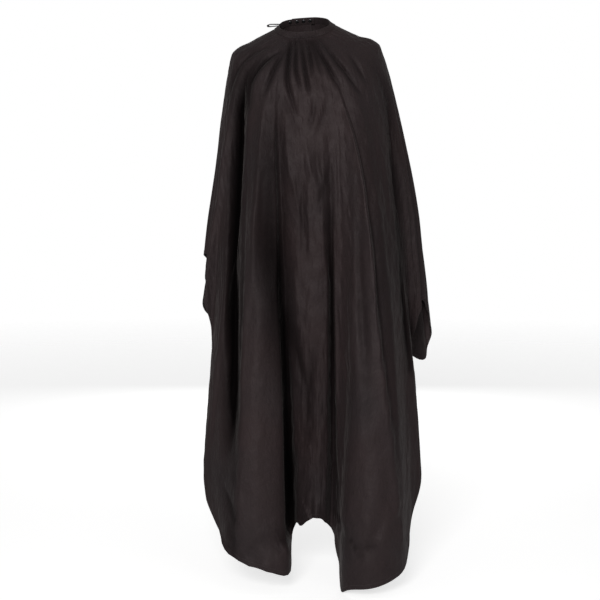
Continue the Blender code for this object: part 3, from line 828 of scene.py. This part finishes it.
def point_value(tree, name):
    return add_node(tree, "Attribute", attribute_name=name).outputs["Fac"]


def seen_directly(tree):
    """1 where the camera looks straight at it, and 0 for the light that bounces off it."""
    return add_node(tree, "LightPath").outputs["Is Camera Ray"]


def new_material(name):
    made = bpy.data.materials.new(name)
    made.use_nodes = True
    return made, made.node_tree, made.node_tree.nodes["Principled BSDF"]


def near_fade(tree, near, far):
    """1 close to the camera and 0 far from it, so that the finest threads fade out."""
    return ramp(tree, add_node(tree, "CameraData").outputs["View Distance"], near, far, 1.0, 0.0)


def hem_wear(tree, colour, worn, normal, place):
    """(colour, normal) with a worn, stitched hem."""
    edge, along = point_value(tree, "edge_distance"), point_value(tree, "edge_along")
    wear = times(tree, ramp(tree, edge, 0.0, WEAR_REACH, 1.0, 0.0), noise(tree, place, 160.0, 2.0))
    colour = mixed(tree, wear, colour, (*worn, 1))
    beside = maths(tree, "ABSOLUTE", maths(tree, "SUBTRACT", edge, HEM_WIDTH - WEAR_REACH))
    row = ramp(tree, beside, 0.25 * MM, 0.55 * MM, 1.0, 0.0)
    stitch = times(tree, row, ramp(tree, waves(tree, along, HEM_STITCH), -0.6, -0.1))
    colour = mixed(tree, times(tree, stitch, 0.7), colour, (*worn, 1))
    dip = ramp(tree, beside, 0.0, 1.4 * MM, 1.0, 0.0)
    dent = maths(tree, "SUBTRACT", times(tree, stitch, 1.6), dip)
    return colour, bump(tree, dent, 0.25 * MM, 0.8, normal)


def cloth_material(name, warm, cool, hemmed):
    """Thin woven polyester: warm and cool black patches, slubs, weave, sheen, a worn, stitched hem and
    painted shade in the deep folds.
    """
    made, tree, shader = new_material(name)
    uv, place = flat_place(tree), solid_place(tree)
    patches = ramp(tree, noise(tree, place, 5.0, 4.0), 0.35, 0.65)
    colour = mixed(tree, patches, (*warm, 1), (*cool, 1))
    slubs = plus(tree, *(noise(tree, stretched(tree, uv, size), 1.0, 2.0) for size in SLUB_SIZES))
    colour = brightened(tree, colour, ramp(tree, slubs, 0.75, 1.25, 0.86, 1.14))
    spots = noise(tree, place, 38.0, 3.0)
    roughness = ramp(tree, spots, 0.3, 0.7, CLOTH_ROUGH - 0.06, CLOTH_ROUGH + 0.06)
    crumple = noise(tree, stretched(tree, place, (1, 1, 0.6)), 17.0, 4.0, 0.6)
    normal = bump(tree, crumple, 9.0 * MM, 0.75)
    crease = noise(tree, stretched(tree, place, (1, 1, 0.35)), 70.0, 3.0, 0.6)
    normal = bump(tree, crease, 1.8 * MM, 0.70, normal)
    across, along = flat_parts(tree)
    weave = times(tree, waves(tree, across, WEAVE_PITCH), waves(tree, along, WEAVE_PITCH))
    normal = bump(tree, weave, 0.05 * MM, times(tree, near_fade(tree, 0.4, 1.6), 0.7), normal)
    normal = bump(tree, slubs, 0.08 * MM, 0.35, normal)
    if hemmed:
        colour, normal = hem_wear(tree, colour, WORN, normal, place)
    # painted shade: the colour and the specular level are dimmed where the fold shade attribute is high
    painted_shade_dimming = ramp(tree, point_value(tree, "painted_shade"), 0.0, 0.9, 1.0, 0.06)
    facing = add_node(tree, "LayerWeight", 0.5).outputs["Facing"]
    grazing = times(tree, maths(tree, "POWER", facing, 2.0), -0.75)
    shine = times(tree, plus(tree, grazing, 1.0), 0.22)
    put(tree, shader, {
        "Base Color": brightened(tree, colour, painted_shade_dimming),
        "Specular IOR Level": times(tree, painted_shade_dimming, shine),
        "Roughness": roughness,
        "Normal": normal,
        "Specular Tint": (1.0, 0.90, 0.90, 1),
        "Sheen Weight": 0.06,
        "Sheen Roughness": 0.45,
        "Sheen Tint": (1.0, 0.90, 0.88, 1),
    })
    return made


def ribbed_material(name, height, tones, depth, relief, roughness, sheen=0.0):
    """A small woven part. height(tree) is its relief, and tones are (relief, colour) at its low and high, the
    low parts painted darker as shade in the grooves.
    """
    made, tree, shader = new_material(name)
    rise = height(tree)
    (low, dark), (high, pale) = tones
    # painted shade: the colour darkens towards the low parts of the relief
    put(tree, shader, {
        "Base Color": mixed(tree, ramp(tree, rise, low, high), (*dark, 1), (*pale, 1)),
        "Normal": bump(tree, rise, depth, relief),
        "Roughness": roughness,
        "Sheen Weight": sheen,
    })
    return made


def twisted_thread(tree):
    across, along = flat_parts(tree)
    return maths(tree, "SINE", plus(tree, times(tree, across, 2 * math.pi / THREAD_TWIST), along))


def herringbone(tree):
    across, along = flat_parts(tree)
    chevron = maths(tree, "PINGPONG", across, 1.5 * MM)
    rib = waves(tree, plus(tree, along, chevron), 0.7 * MM)
    return plus(tree, times(tree, rib, 0.7), times(tree, waves(tree, across, 0.5 * MM), 0.3))


def knitted_cords(tree):
    across, along = flat_parts(tree)
    return plus(tree, waves(tree, along, 1.1 * MM), times(tree, waves(tree, across, 0.7 * MM), 0.5))


def satin_material():
    """White satin for the blank label: long floats across it and a little yellowing."""
    made, tree, shader = new_material("label_satin")
    floats = noise(tree, stretched(tree, flat_place(tree), (700, 6000, 1)), 1.0, 2.0)
    aged = ramp(tree, noise(tree, solid_place(tree), 60.0, 3.0), 0.35, 0.7)
    put(tree, shader, {
        "Base Color": mixed(tree, aged, (0.76, 0.75, 0.73, 1), (0.70, 0.67, 0.61, 1)),
        "Normal": bump(tree, floats, 0.05 * MM, 0.6),
        "Roughness": ramp(tree, floats, 0.3, 0.7, 0.30, 0.46),
        "Anisotropic": 0.5,
    })
    return made


def metal_material():
    """Gunmetal snaps: pressed and lacquered, with brighter worn rims and fine scratches."""
    made, tree, shader = new_material("snap_metal")
    place = solid_place(tree)
    scratches = noise(tree, stretched(tree, place, (3000, 500, 900)), 1.0, 3.0)
    blotches = noise(tree, place, 420.0, 3.0)
    rim = ramp(tree, add_node(tree, "NewGeometry").outputs["Pointiness"], 0.52, 0.60)
    tarnish = ramp(tree, blotches, 0.3, 0.7)
    colour = mixed(tree, tarnish, (0.075, 0.075, 0.082, 1), (0.13, 0.128, 0.13, 1))
    put(tree, shader, {
        "Base Color": mixed(tree, times(tree, rim, blotches), colour, (0.45, 0.44, 0.42, 1)),
        "Roughness": ramp(tree, scratches, 0.3, 0.7, 0.22, 0.40),
        "Normal": bump(tree, scratches, 0.02 * MM, 0.4),
        "Metallic": 1.0,
    })
    return made


CLOTH = cloth_material("black_polyester", (0.0290, 0.0190, 0.0195), (0.0250, 0.0185, 0.0195), True)
BAND = cloth_material("neckband_cloth", (0.0265, 0.0180, 0.0182), (0.0230, 0.0172, 0.0182), False)
# The darker tone at the low relief is painted shade in the grooves of the thread, tape and elastic.
THREAD_TONES = ((-1, (0.020, 0.018, 0.018)), (1, (0.048, 0.044, 0.044)))
TAPE_TONES = ((-1, (0.014, 0.013, 0.013)), (1, (0.042, 0.039, 0.038)))
ELASTIC_TONES = ((-1.5, (0.50, 0.49, 0.45)), (1.5, (0.72, 0.71, 0.67)))
THREAD = ribbed_material("sewing_thread", twisted_thread, THREAD_TONES, 0.08 * MM, 0.7, 0.5)
TAPE = ribbed_material("woven_tape", herringbone, TAPE_TONES, 0.12 * MM, 0.8, 0.75, 0.2)
ELASTIC = ribbed_material("elastic_tape", knitted_cords, ELASTIC_TONES, 0.15 * MM, 0.8, 0.85)
SATIN = satin_material()
METAL = metal_material()


# ---- the cloth's pieces ----


def flat_uvs(thetas, rhos):
    s, c = round_the_neck(thetas)
    return np.stack([rhos * s[:, None], -rhos * c[:, None]], -1)


def joint(name):
    return next(j for j in frame["joints"] if j["name"] == name)


def hinge_line(name):
    found = joint(name)
    return np.array(found["pos_m"], float), unit(np.array(found["axis"], float))


def across_hinge(name, towards, reach):
    """Start and end points along the cloth, that far before and after the hinge line."""
    point, axis = hinge_line(name)
    direction = unit(towards - axis * np.dot(towards, axis))
    return point - direction * reach, point + direction * reach


# The side hems have more columns at these distances from the edge.
EDGE_STRIP = (HEM_WIDTH, HEM_WIDTH - 1.5 * MM, 1.2 * MM)
EDGE_COLUMNS = 5
HEM_STEP = 1.4 * MM
HEM_EDGE = 0.55
TUCKED_HEIGHTS = (5 * MM, 1 * MM)
BLEND_REACH = 7 * MM


def with_edge_strip(thetas, fields, last):
    """The sheet with more columns next to its first or last one, where the folded side hem begins."""
    a, b = (-1, -2) if last else (0, 1)
    length = np.linalg.norm(fields[1][a] - fields[1][b], axis=-1)
    shares = [np.clip(1 - reach / np.maximum(length, 1e-6), 0.02, 0.98) for reach in EDGE_STRIP]
    if not last:
        shares = shares[::-1]
    at = len(thetas) - 1 if last else 1
    widened = []
    for field in fields:
        wide = [share[:, None] if field.ndim == 3 else share for share in shares]
        extra = [field[b] + (field[a] - field[b]) * share for share in wide]
        widened.append(np.concatenate([field[:at], np.stack(extra), field[at:]]))
    extra_thetas = [thetas[b] + (thetas[a] - thetas[b]) * share.mean() for share in shares]
    return np.insert(thetas, at, extra_thetas), widened


def edge_values(thetas, rhos, points):
    """Each point's distance from the nearest free edge, its place along that edge, and half the thickness."""
    hem = hem_rho(thetas)[:, None] - rhos
    length = np.concatenate([[0], np.cumsum(np.linalg.norm(np.diff(points[:, -1], axis=0), axis=-1))])
    along = np.broadcast_to(length[:, None], rhos.shape).copy()
    distance = hem.copy()
    for column, step in ((0, 1), (-1, -1)):
        reach = np.zeros(rhos.shape[1])
        for k in range(1, EDGE_COLUMNS + 1):
            i = column + step * k
            reach = reach + np.linalg.norm(points[i] - points[i - step], axis=-1)
            nearer = reach < distance[i]
            distance[i] = np.where(nearer, reach, distance[i])
            along[i] = np.where(nearer, rhos[i], along[i])
        distance[column] = 0
        along[column] = rhos[column]
    half = CLOTH_HALF + (HEM_HALF - CLOTH_HALF) * eased((HEM_WIDTH + 0.2 * MM - distance) / HEM_STEP)
    half = half * np.where(distance < 0.3 * MM, HEM_EDGE, 1.0)
    tucked = eased((rhos - NECK_RADIUS) / (2 * MM))
    return distance, along, CLOTH_HALF + (half - CLOTH_HALF) * tucked


def cape_cloth():
    """The whole cloth in three pieces that share their edges: the body and the two back flaps."""
    thetas, rhos, points, normals, painted_shade = draped_sheet()
    fields = [rhos, points, normals, painted_shade]
    for last in (True, False):
        thetas, fields = with_edge_strip(thetas, fields, last)
    rhos, points, normals, painted_shade = fields
    normals = unit(normals)
    # the top edge goes up inside the band
    tucked = np.stack([ring_point(thetas, 0, height) for height in TUCKED_HEIGHTS], 1)
    points = np.concatenate([tucked, points], 1)
    normals = np.concatenate([np.stack([outward(thetas)] * 2, 1), normals], 1)
    inside = np.stack([np.full_like(thetas, NECK_RADIUS - height) for height in TUCKED_HEIGHTS], 1)
    rhos = np.concatenate([inside, rhos], 1)
    painted_shade = np.concatenate([np.zeros_like(inside), painted_shade], 1)
    distance, along, half = edge_values(thetas, rhos, points)
    uvs = flat_uvs(thetas, rhos)
    left, right = (int(np.argmin(np.abs(thetas - angle))) for angle in (-SPLIT_ANGLE, SPLIT_ANGLE))
    spans = (("cape_cloth_under_flap", 0, left), ("cape_cloth_body", left, right),
             ("cape_cloth_over_flap", right, len(thetas) - 1))
    made = []
    for name, first, last in spans:
        part = slice(first, last + 1)
        # the painted shade in the folds goes to the material as a point attribute
        values = {"edge_distance": distance[part], "edge_along": along[part], "painted_shade": painted_shade[part]}
        made.append(solid_sheet(name, points[part], normals[part], half[part], CLOTH, uvs[part], values))
    under, body, over = made
    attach(body, "cape")
    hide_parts("cape_body")
    hinges = ((over, "over_flap_hinge", 1, "over_flap", "back_flap_over"),
              (under, "under_flap_hinge", -1, "under_flap", "back_flap_under"))
    for flap, hinge, side, rider, node in hinges:
        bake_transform(flap)
        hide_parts(node)


def flap_direction(side):
    """Unit vector along the neck ring at a flap's hinge, towards the back's middle."""
    return along_ring(side * HINGE_ANGLE, side)


# ---- the neckband ----

BAND_STEP = 1.0
SEAM_MARGIN = 0.8
STITCH_PITCH = 2.9 * MM
STITCH_LENGTH = 2.2 * MM
STITCH_RADIUS = 0.27 * MM
STITCH_BOW = 0.12 * MM
STITCH_PROUD = 0.12 * MM
STITCH_RINGS = 6
STITCH_SIDES = 8
PUCKERS = (4.1, 5.7, 7.7)
PUCKERED_FRONT = (72, 14)
SIDE_PUCKERS = 0.35
PUFF = 0.30 * MM
PUCKER = 0.26 * MM
PUCKER_WAVE = 0.22 * MM


def band_puckers(theta):
    """How far the band's outer face puffs out between the gathers, round the neck."""
    rng = np.random.default_rng(SEED + 1)
    front = SIDE_PUCKERS + (1 - SIDE_PUCKERS) * in_front(theta, *PUCKERED_FRONT)
    round_back = np.where(theta < -HINGE_ANGLE, theta + 360, theta)
    return front * random_wave(rng, round_back, PUCKERS)


def band_section(theta):
    """(points, UVs) of closed sections of the folded band: its outer face, the top and back inside."""
    outer, wall, top = BAND_HALF, BAND_WALL, BAND_HEIGHT + BAND_WALL / 2
    turn = np.radians(np.linspace(0, 180, 9))
    path = [(outer, height) for height in np.linspace(0, top - outer, 9)]
    path += [(outer * math.cos(a), top - outer + outer * math.sin(a)) for a in turn[1:-1]]
    path += [(-outer, height) for height in np.linspace(top - outer, 0, 9)]
    inner = outer - wall
    back = [(-inner, height) for height in np.linspace(0.15 * MM, top - outer, 5)]
    back += [(-inner * math.cos(a), top - outer + inner * math.sin(a)) for a in turn[1:-1:2]]
    back += [(inner, height) for height in np.linspace(top - outer, 0.15 * MM, 5)]
    lower_edge = [((outer + inner) / 2, -0.12 * MM)]
    other_edge = [(-(outer + inner) / 2, -0.12 * MM)]
    profile = np.array(path + other_edge + back + lower_edge)
    swell = np.zeros(len(profile))
    height = profile[:, 1]
    face = np.abs(profile[:, 0]) > outer - 0.05 * MM
    share = (height[face] - SEAM_HEIGHT) / (top - outer - SEAM_HEIGHT)
    swell[face] = np.sin(np.clip(share, -0.4, 1) * math.pi)
    pucker = band_puckers(theta)
    amount = (PUFF + PUCKER * pucker)[:, None] * swell[None, :] * np.sign(profile[:, 0])[None, :]
    wavy = PUCKER_WAVE * pucker[:, None] * eased((height - top + 4 * MM) / (4 * MM))[None, :]
    out, up = profile[:, 0][None, :] + amount, height[None, :] + wavy
    grid = np.broadcast_to(theta[:, None], out.shape)
    girth = np.concatenate([[0], np.cumsum(np.linalg.norm(np.diff(profile, axis=0), axis=-1))])
    uvs = np.stack([np.broadcast_to(np.radians(grid) * NECK_RADIUS, out.shape),
                    np.broadcast_to(girth[None, :], out.shape)], -1)
    return ring_point(grid, out, up), uvs


def band_length(name, start, end, nodes):
    """One length of the band between two angles."""
    steps = max(2, round(abs(end - start) / BAND_STEP))
    theta = np.linspace(start, end, steps + 1)
    sections, uvs = band_section(theta)
    if end > start:
        sections, uvs = sections[:, ::-1], uvs[:, ::-1]
    made = swept(name, sections, BAND, uvs)
    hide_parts(*nodes)
    return made


def stitches(name, theta, out, height):
    """Sewn stitches along the band at the given angles, one closed body each, narrow at both ends."""
    turn = np.linspace(0, math.pi, STITCH_RINGS + 2)[1:-1]
    along, radius = -np.cos(turn) * STITCH_LENGTH / 2, STITCH_RADIUS * np.sin(turn) ** 0.55
    around = np.linspace(0, 2 * math.pi, STITCH_SIDES + 1)[:-1]
    bow = STITCH_BOW * (1 - (2 * along / STITCH_LENGTH) ** 2)
    off = (bow[:, None] + radius[:, None] * np.cos(around))[..., None]
    aside = (radius[:, None] * np.sin(around))[..., None]
    points, faces = [], []
    for angle in theta:
        away = outward(angle)
        forward = unit(np.cross(upward(angle), away))
        middle = ring_point(angle, out, height) + forward * along[:, None, None]
        faces += tube_faces(STITCH_RINGS, STITCH_SIDES, len(points) * STITCH_RINGS * STITCH_SIDES)
        points.append(middle + away * off + np.cross(away, forward) * aside)
    uvs = np.stack(np.broadcast_arrays(along[:, None], around), -1)
    made = mesh_object(name, points, faces)
    finish_mesh(made, THREAD, np.stack([uvs] * len(points)))
    return made


def stitch_angles(start, end):
    count = max(1, int(abs(math.radians(end - start)) * NECK_RADIUS / STITCH_PITCH))
    return np.linspace(start, end, count + 1)[:-1] + (end - start) / count / 2


def neckband():
    """The band and its seam in four lengths that meet end to end."""
    tab_end, under_end = theta_at(TAB_END_X, 1), theta_at(UNDER_END_X, -1)
    lengths = (
        ("neckband_front_cloth", -SPLIT_ANGLE, SPLIT_ANGLE, "neckband_front", "seam_thread_front"),
        ("neckband_over_cloth", SPLIT_ANGLE, TAB_SPLIT, "neckband_over", "seam_thread_over"),
        ("neckband_tab_cloth", TAB_SPLIT, tab_end, "neckband_tab", "seam_thread_tab"),
        ("neckband_under_cloth", -SPLIT_ANGLE, under_end, "neckband_under", "seam_thread_under"),
    )
    tab_hinge = theta_at(TAB_HINGE_X, 1)
    around_tab = along_ring(tab_hinge, 1)
    over_span = across_hinge("over_flap_hinge", flap_direction(1), BLEND_REACH)
    under_span = across_hinge("under_flap_hinge", flap_direction(-1), BLEND_REACH)
    tab_span = across_hinge("closure_tab_hinge", around_tab, BLEND_REACH / 2)
    movers = {
        "neckband_over_cloth": ("cape", "over_flap", over_span),
        "neckband_under_cloth": ("cape", "under_flap", under_span),
        "neckband_tab_cloth": ("over_flap", "closure_tab", tab_span),
    }
    for name, start, end, node, thread_node in lengths:
        band = band_length(name, start, end, [node])
        margin = math.copysign(SEAM_MARGIN, end - start)
        angles = stitch_angles(start, end - margin)
        thread = stitches(name.replace("cloth", "stitches"), angles, BAND_HALF + STITCH_PROUD, SEAM_HEIGHT)
        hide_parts(thread_node)
        for piece in (band, thread):
            if name in movers:
                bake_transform(piece)
            else:
                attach(piece, "cape")


# ---- the snaps ----

# Turned outlines in millimetres, (radius, height), from the top down the outer side, with rounded corners.
STUD = [
    (0, 2.2), (1.0, 2.2), (1.5, 2.08), (1.78, 1.8), (1.78, 1.35), (1.5, 0.95), (1.48, 0.62), (1.7, 0.5),
    (3.2, 0.5), (3.5, 0.56), (4.2, 0.54), (4.5, 0.42), (4.6, 0.25), (4.55, 0.05), (4.4, 0), (0, 0),
]
POST = [
    (0, 0.8), (1.2, 0.8), (2.6, 0.76), (3.4, 0.66), (4.0, 0.42), (4.2, 0.2), (4.1, 0.02), (3.9, 0), (0, 0),
]
SOCKET = [
    (2.6, 0), (2.6, 0.9), (2.75, 1.3), (3.1, 1.5), (4.4, 1.5), (4.8, 1.36), (5.0, 1.05), (5.0, 0.35),
    (4.9, 0.1), (4.7, 0),
]
CAP = [
    (0, 1.3), (0.9, 1.29), (1.8, 1.2), (2.7, 1.08), (3.6, 0.9), (4.4, 0.65), (4.9, 0.42), (5.15, 0.2),
    (5.2, 0.05), (5.1, 0), (0, 0),
]
SNAP_STEPS = 48
SNAP_GAP = 0.3 * MM


def lathe(name, outline, location, out):
    """A turned metal piece from location along out. A ring's outline leaves its middle open."""
    ring = outline[0][0] > 0
    turn = np.linspace(0, 2 * math.pi, SNAP_STEPS + 1)[:-1]
    side = unit(np.cross(out, RING_UP))
    up = np.cross(side, out)
    points, rows = [], []
    for radius, height in outline:
        base = location + out * height * MM
        if radius == 0:
            rows.append([len(points)] * SNAP_STEPS)
            points.append(base)
        else:
            rows.append(list(range(len(points), len(points) + SNAP_STEPS)))
            points += [base + (side * math.cos(t) + up * math.sin(t)) * radius * MM for t in turn]
    pairs = list(zip(rows, rows[1:])) + ([(rows[-1], rows[0])] if ring else [])
    faces = []
    for upper, lower in pairs:
        for k in range(SNAP_STEPS):
            n = (k + 1) % SNAP_STEPS
            corners = [upper[k], lower[k], lower[n], upper[n]]
            faces.append([c for i, c in enumerate(corners) if c != corners[i - 1]])
    made = mesh_object(name, points, faces)
    finish_mesh(made, METAL)
    made.data.set_sharp_from_angle(angle=math.radians(38))
    return made


def snaps():
    """Studs and posts on the under band, caps and sockets on the tab, each where its CAD node is."""
    rows = ((STUD_X, -1, "under_flap", ("snap_stud", STUD), ("snap_post", POST)),
            (SOCKET_X, 1, "closure_tab", ("snap_cap", CAP), ("snap_socket", SOCKET)))
    for xs, side, body, outer, inner in rows:
        for index, x in enumerate(xs):
            theta = theta_at(x, side)
            out, middle = outward(theta), ring_point(theta, 0, SNAP_HEIGHT)
            for (kind, outline), way in ((outer, 1), (inner, -1)):
                node = f"{kind}_{index + 1}"
                base = middle + way * out * (BAND_HALF + SNAP_GAP)
                made = lathe(f"{node}_turned", outline, base, way * out)
                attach(made, body)
                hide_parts(node)


# ---- tape, elastic and label ----

LOOP_ANGLE = -130
LOOP_WIDTH = 9 * MM
LOOP_LENGTH = 46 * MM
LOOP_HALF_OPEN = 2.6 * MM
LOOP_FALL = math.radians(8)
LOOP_TAPE = 0.8 * MM
ELASTIC_REACH = 62
ELASTIC_LOW = 6.5 * MM
ELASTIC_HIGH = 13 * MM
ELASTIC_TAPE = 0.9 * MM
ELASTIC_WAVE = 0.15 * MM
ELASTIC_WAVES = 55
LABEL_ANGLE = -60
LABEL_WIDTH = 26 * MM
LABEL_TOP = 3 * MM
LABEL_BOTTOM = -30 * MM
LABEL_CLOTH = 0.4 * MM
LABEL_GAP = 0.3 * MM
LABEL_CORNER = 1.6 * MM
LABEL_BELLY = 0.8 * MM


def smooth_path(points, steps):
    """A smooth curve through a list of points, each stretch in that many steps."""
    points = np.array(points, float)
    knots = np.column_stack([np.arange(len(points)), points])
    at = np.linspace(0, len(points) - 1, (len(points) - 1) * steps + 1)
    return np.stack(through(knots, at), -1)


def flat_section(width, thickness):
    """Corners of a tape's section with rounded edges: (across, out)."""
    half, thin = width / 2, thickness / 2
    turn = np.radians(np.linspace(-90, 90, 5))
    one = [(half - thin + thin * math.cos(a), thin * math.sin(a)) for a in turn]
    flat = [(x, thin) for x in np.linspace(half - thin, -half + thin, 7)[1:-1]]
    other = [(-x, -y) for x, y in one]
    back = [(x, -thin) for x in np.linspace(-half + thin, half - thin, 7)[1:-1]]
    return np.array(one + flat + other + back)


def tape(name, path, across, width, thickness, material):
    """A tape swept along a path, with its width along across at every station."""
    path = np.asarray(path)
    across = unit(np.broadcast_to(across, path.shape))
    forward = unit(np.gradient(path, axis=0))
    out = unit(np.cross(forward, across))
    section = flat_section(width, thickness)
    sections = path[:, None] + across[:, None] * section[None, :, :1] + out[:, None] * section[None, :, 1:]
    length = np.concatenate([[0], np.cumsum(np.linalg.norm(np.diff(path, axis=0), axis=-1))])
    uvs = np.stack([np.broadcast_to(section[None, :, 0], sections.shape[:2]),
                    np.broadcast_to(length[:, None], sections.shape[:2])], -1)
    made = swept(name, sections, material, uvs)
    return made


def hang_loop():
    """A tape loop to hang the cape on a hook, its ends sewn together at the band."""
    out = outward(LOOP_ANGLE)
    width = unit(np.cross(out, RING_UP))
    along = out * math.cos(LOOP_FALL) - RING_UP * math.sin(LOOP_FALL)
    across = out * math.sin(LOOP_FALL) + RING_UP * math.cos(LOOP_FALL)
    root = np.array(joint("hang_loop_hinge")["pos_m"], float)
    far, half, near = LOOP_LENGTH, LOOP_HALF_OPEN, (LOOP_TAPE + 0.3 * MM) / 2
    shape = ((0.3, 0.7), (0.7, 1), (0.93, 1), (0.985, 0.62))
    one_side = [(0, near)] + [(reach * far, open_by * half) for reach, open_by in shape]
    outline = [(a, -b) for a, b in one_side] + [(far, 0)] + one_side[::-1]
    path = smooth_path([root + along * a + across * b for a, b in outline], 8)
    loop = tape("hang_loop_tape", path, width, LOOP_WIDTH, LOOP_TAPE, TAPE)
    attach(loop, "hang_loop")
    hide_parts("hang_loop")


def neck_elastic():
    """The elastic inside the band, with small waves where the cloth gathers on it."""
    theta = np.linspace(-ELASTIC_REACH, ELASTIC_REACH, 140)
    wave = ELASTIC_WAVE * np.sin(np.radians(theta * ELASTIC_WAVES))
    path = ring_point(theta, wave, (ELASTIC_LOW + ELASTIC_HIGH) / 2)
    width = ELASTIC_HIGH - ELASTIC_LOW
    strip = tape("neck_elastic_tape", path, upward(theta), width, ELASTIC_TAPE, ELASTIC)
    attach(strip, "cape")
    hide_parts("neck_elastic")


def care_label():
    """A blank satin label sewn inside the band. Its lower corners curl a little."""
    reach = math.degrees(LABEL_WIDTH / 2 / NECK_RADIUS)
    theta = LABEL_ANGLE + np.linspace(-reach, reach, 27)
    share = np.linspace(0, 1, 34)
    height = LABEL_TOP + (LABEL_BOTTOM - LABEL_TOP) * share
    grid_theta, grid_height = np.meshgrid(theta, height, indexing="ij")
    edge = np.abs(grid_theta - LABEL_ANGLE) / reach
    curl = -LABEL_CORNER * edge**3 * share**2 - LABEL_BELLY * np.sin(math.pi * share) ** 2
    out = -BAND_HALF - LABEL_GAP - LABEL_CLOTH + curl
    points = ring_point(grid_theta, out, np.maximum(grid_height, 0))
    points = points + np.minimum(grid_height, 0)[..., None] * RING_UP
    normals = -grid_normals(points)
    uvs = np.stack([np.radians(grid_theta) * NECK_RADIUS, grid_height], -1)
    half = np.full(points.shape[:2], LABEL_CLOTH / 2)
    label = solid_sheet("care_label_satin", points, normals, half, SATIN, uvs, {})
    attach(label, "cape")
    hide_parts("care_label")


# ---- the studio ----

CAMERA_DISTANCE = 3.2
CAMERA_DROP = 0.35
CAMERA_LENS = 80.3
AIM = Vector((-0.0108, 0.0, -0.6354))
FLOOR_RADIUS = 7.0
SKY_LIGHT = 0.22
FLOOR_GLOW = 0.58
FLOOR_GAP = 12 * MM
FLOOR_FADE_FROM = 1.6
FLOOR_FADE_TO = 6.3
FLOOR_CORNERS = 96
LAMPS_AIM = Vector((0, 0, -0.5))
# (name, location, size, power)
LAMPS = (
    ("key", (-0.5, -3.7, 0.7), 1.2, 76),
    ("fill", (1.8, -3.0, 0.2), 1.6, 6),
    ("back", (0.0, 2.8, 0.0), 1.6, 21),
)


def studio_floor():
    """A plain pale floor that fades into the background."""
    lowest = CAD_BOX[0].z - FLOOR_GAP
    turn = np.linspace(0, 2 * math.pi, FLOOR_CORNERS + 1)[:-1]
    points = [(FLOOR_RADIUS * math.cos(t), FLOOR_RADIUS * math.sin(t), lowest) for t in turn]
    floor = mesh_object("studio_floor", points, [range(FLOOR_CORNERS)])
    made, tree, shader = new_material("pale_floor")
    place = solid_place(tree)
    mottle = noise(tree, place, 2.0, 3.0)
    away = add_node(tree, "VectorMath", place, operation="LENGTH").outputs["Value"]
    put(tree, shader, {
        "Base Color": mixed(tree, mottle, (0.86, 0.86, 0.86, 1), (0.90, 0.90, 0.895, 1)),
        "Roughness": 0.9,
        "Specular IOR Level": 0.1,
        "Emission Color": (1, 1, 1, 1),
        "Emission Strength": times(tree, seen_directly(tree), FLOOR_GLOW),
        "Alpha": ramp(tree, away, FLOOR_FADE_FROM, FLOOR_FADE_TO, 1.0, 0.0),
    })
    finish_mesh(floor, made)


def studio_light():
    world = bpy.data.worlds.new("studio_world")
    bpy.context.scene.world = world
    world.use_nodes = True
    tree = world.node_tree
    strength = ramp(tree, seen_directly(tree), 0.0, 1.0, SKY_LIGHT, 1.0)
    put(tree, tree.nodes["Background"], {"Color": (1.0, 1.0, 1.0, 1), "Strength": strength})
    for name, location, size, power in LAMPS:
        lamp = bpy.data.lights.new(name, "AREA")
        lamp.size = size
        lamp.energy = power
        holder = bpy.data.objects.new(name, lamp)
        holder.location = location
        holder.rotation_euler = (LAMPS_AIM - Vector(location)).to_track_quat("-Z", "Y").to_euler()
        bpy.context.scene.collection.objects.link(holder)


def studio_camera():
    camera = bpy.data.cameras.new("camera")
    camera.lens = CAMERA_LENS
    camera.sensor_width = 36
    camera.clip_start = 0.05
    holder = bpy.data.objects.new("camera", camera)
    holder.location = (0, -CAMERA_DISTANCE, -CAMERA_DROP)
    holder.rotation_euler = (AIM - holder.location).to_track_quat("-Z", "Y").to_euler()
    bpy.context.scene.collection.objects.link(holder)
    bpy.context.scene.camera = holder


cape_cloth()
neckband()
snaps()
hang_loop()
neck_elastic()
care_label()
studio_floor()
studio_light()
studio_camera()
bpy.context.scene.view_settings.view_transform = "Standard"
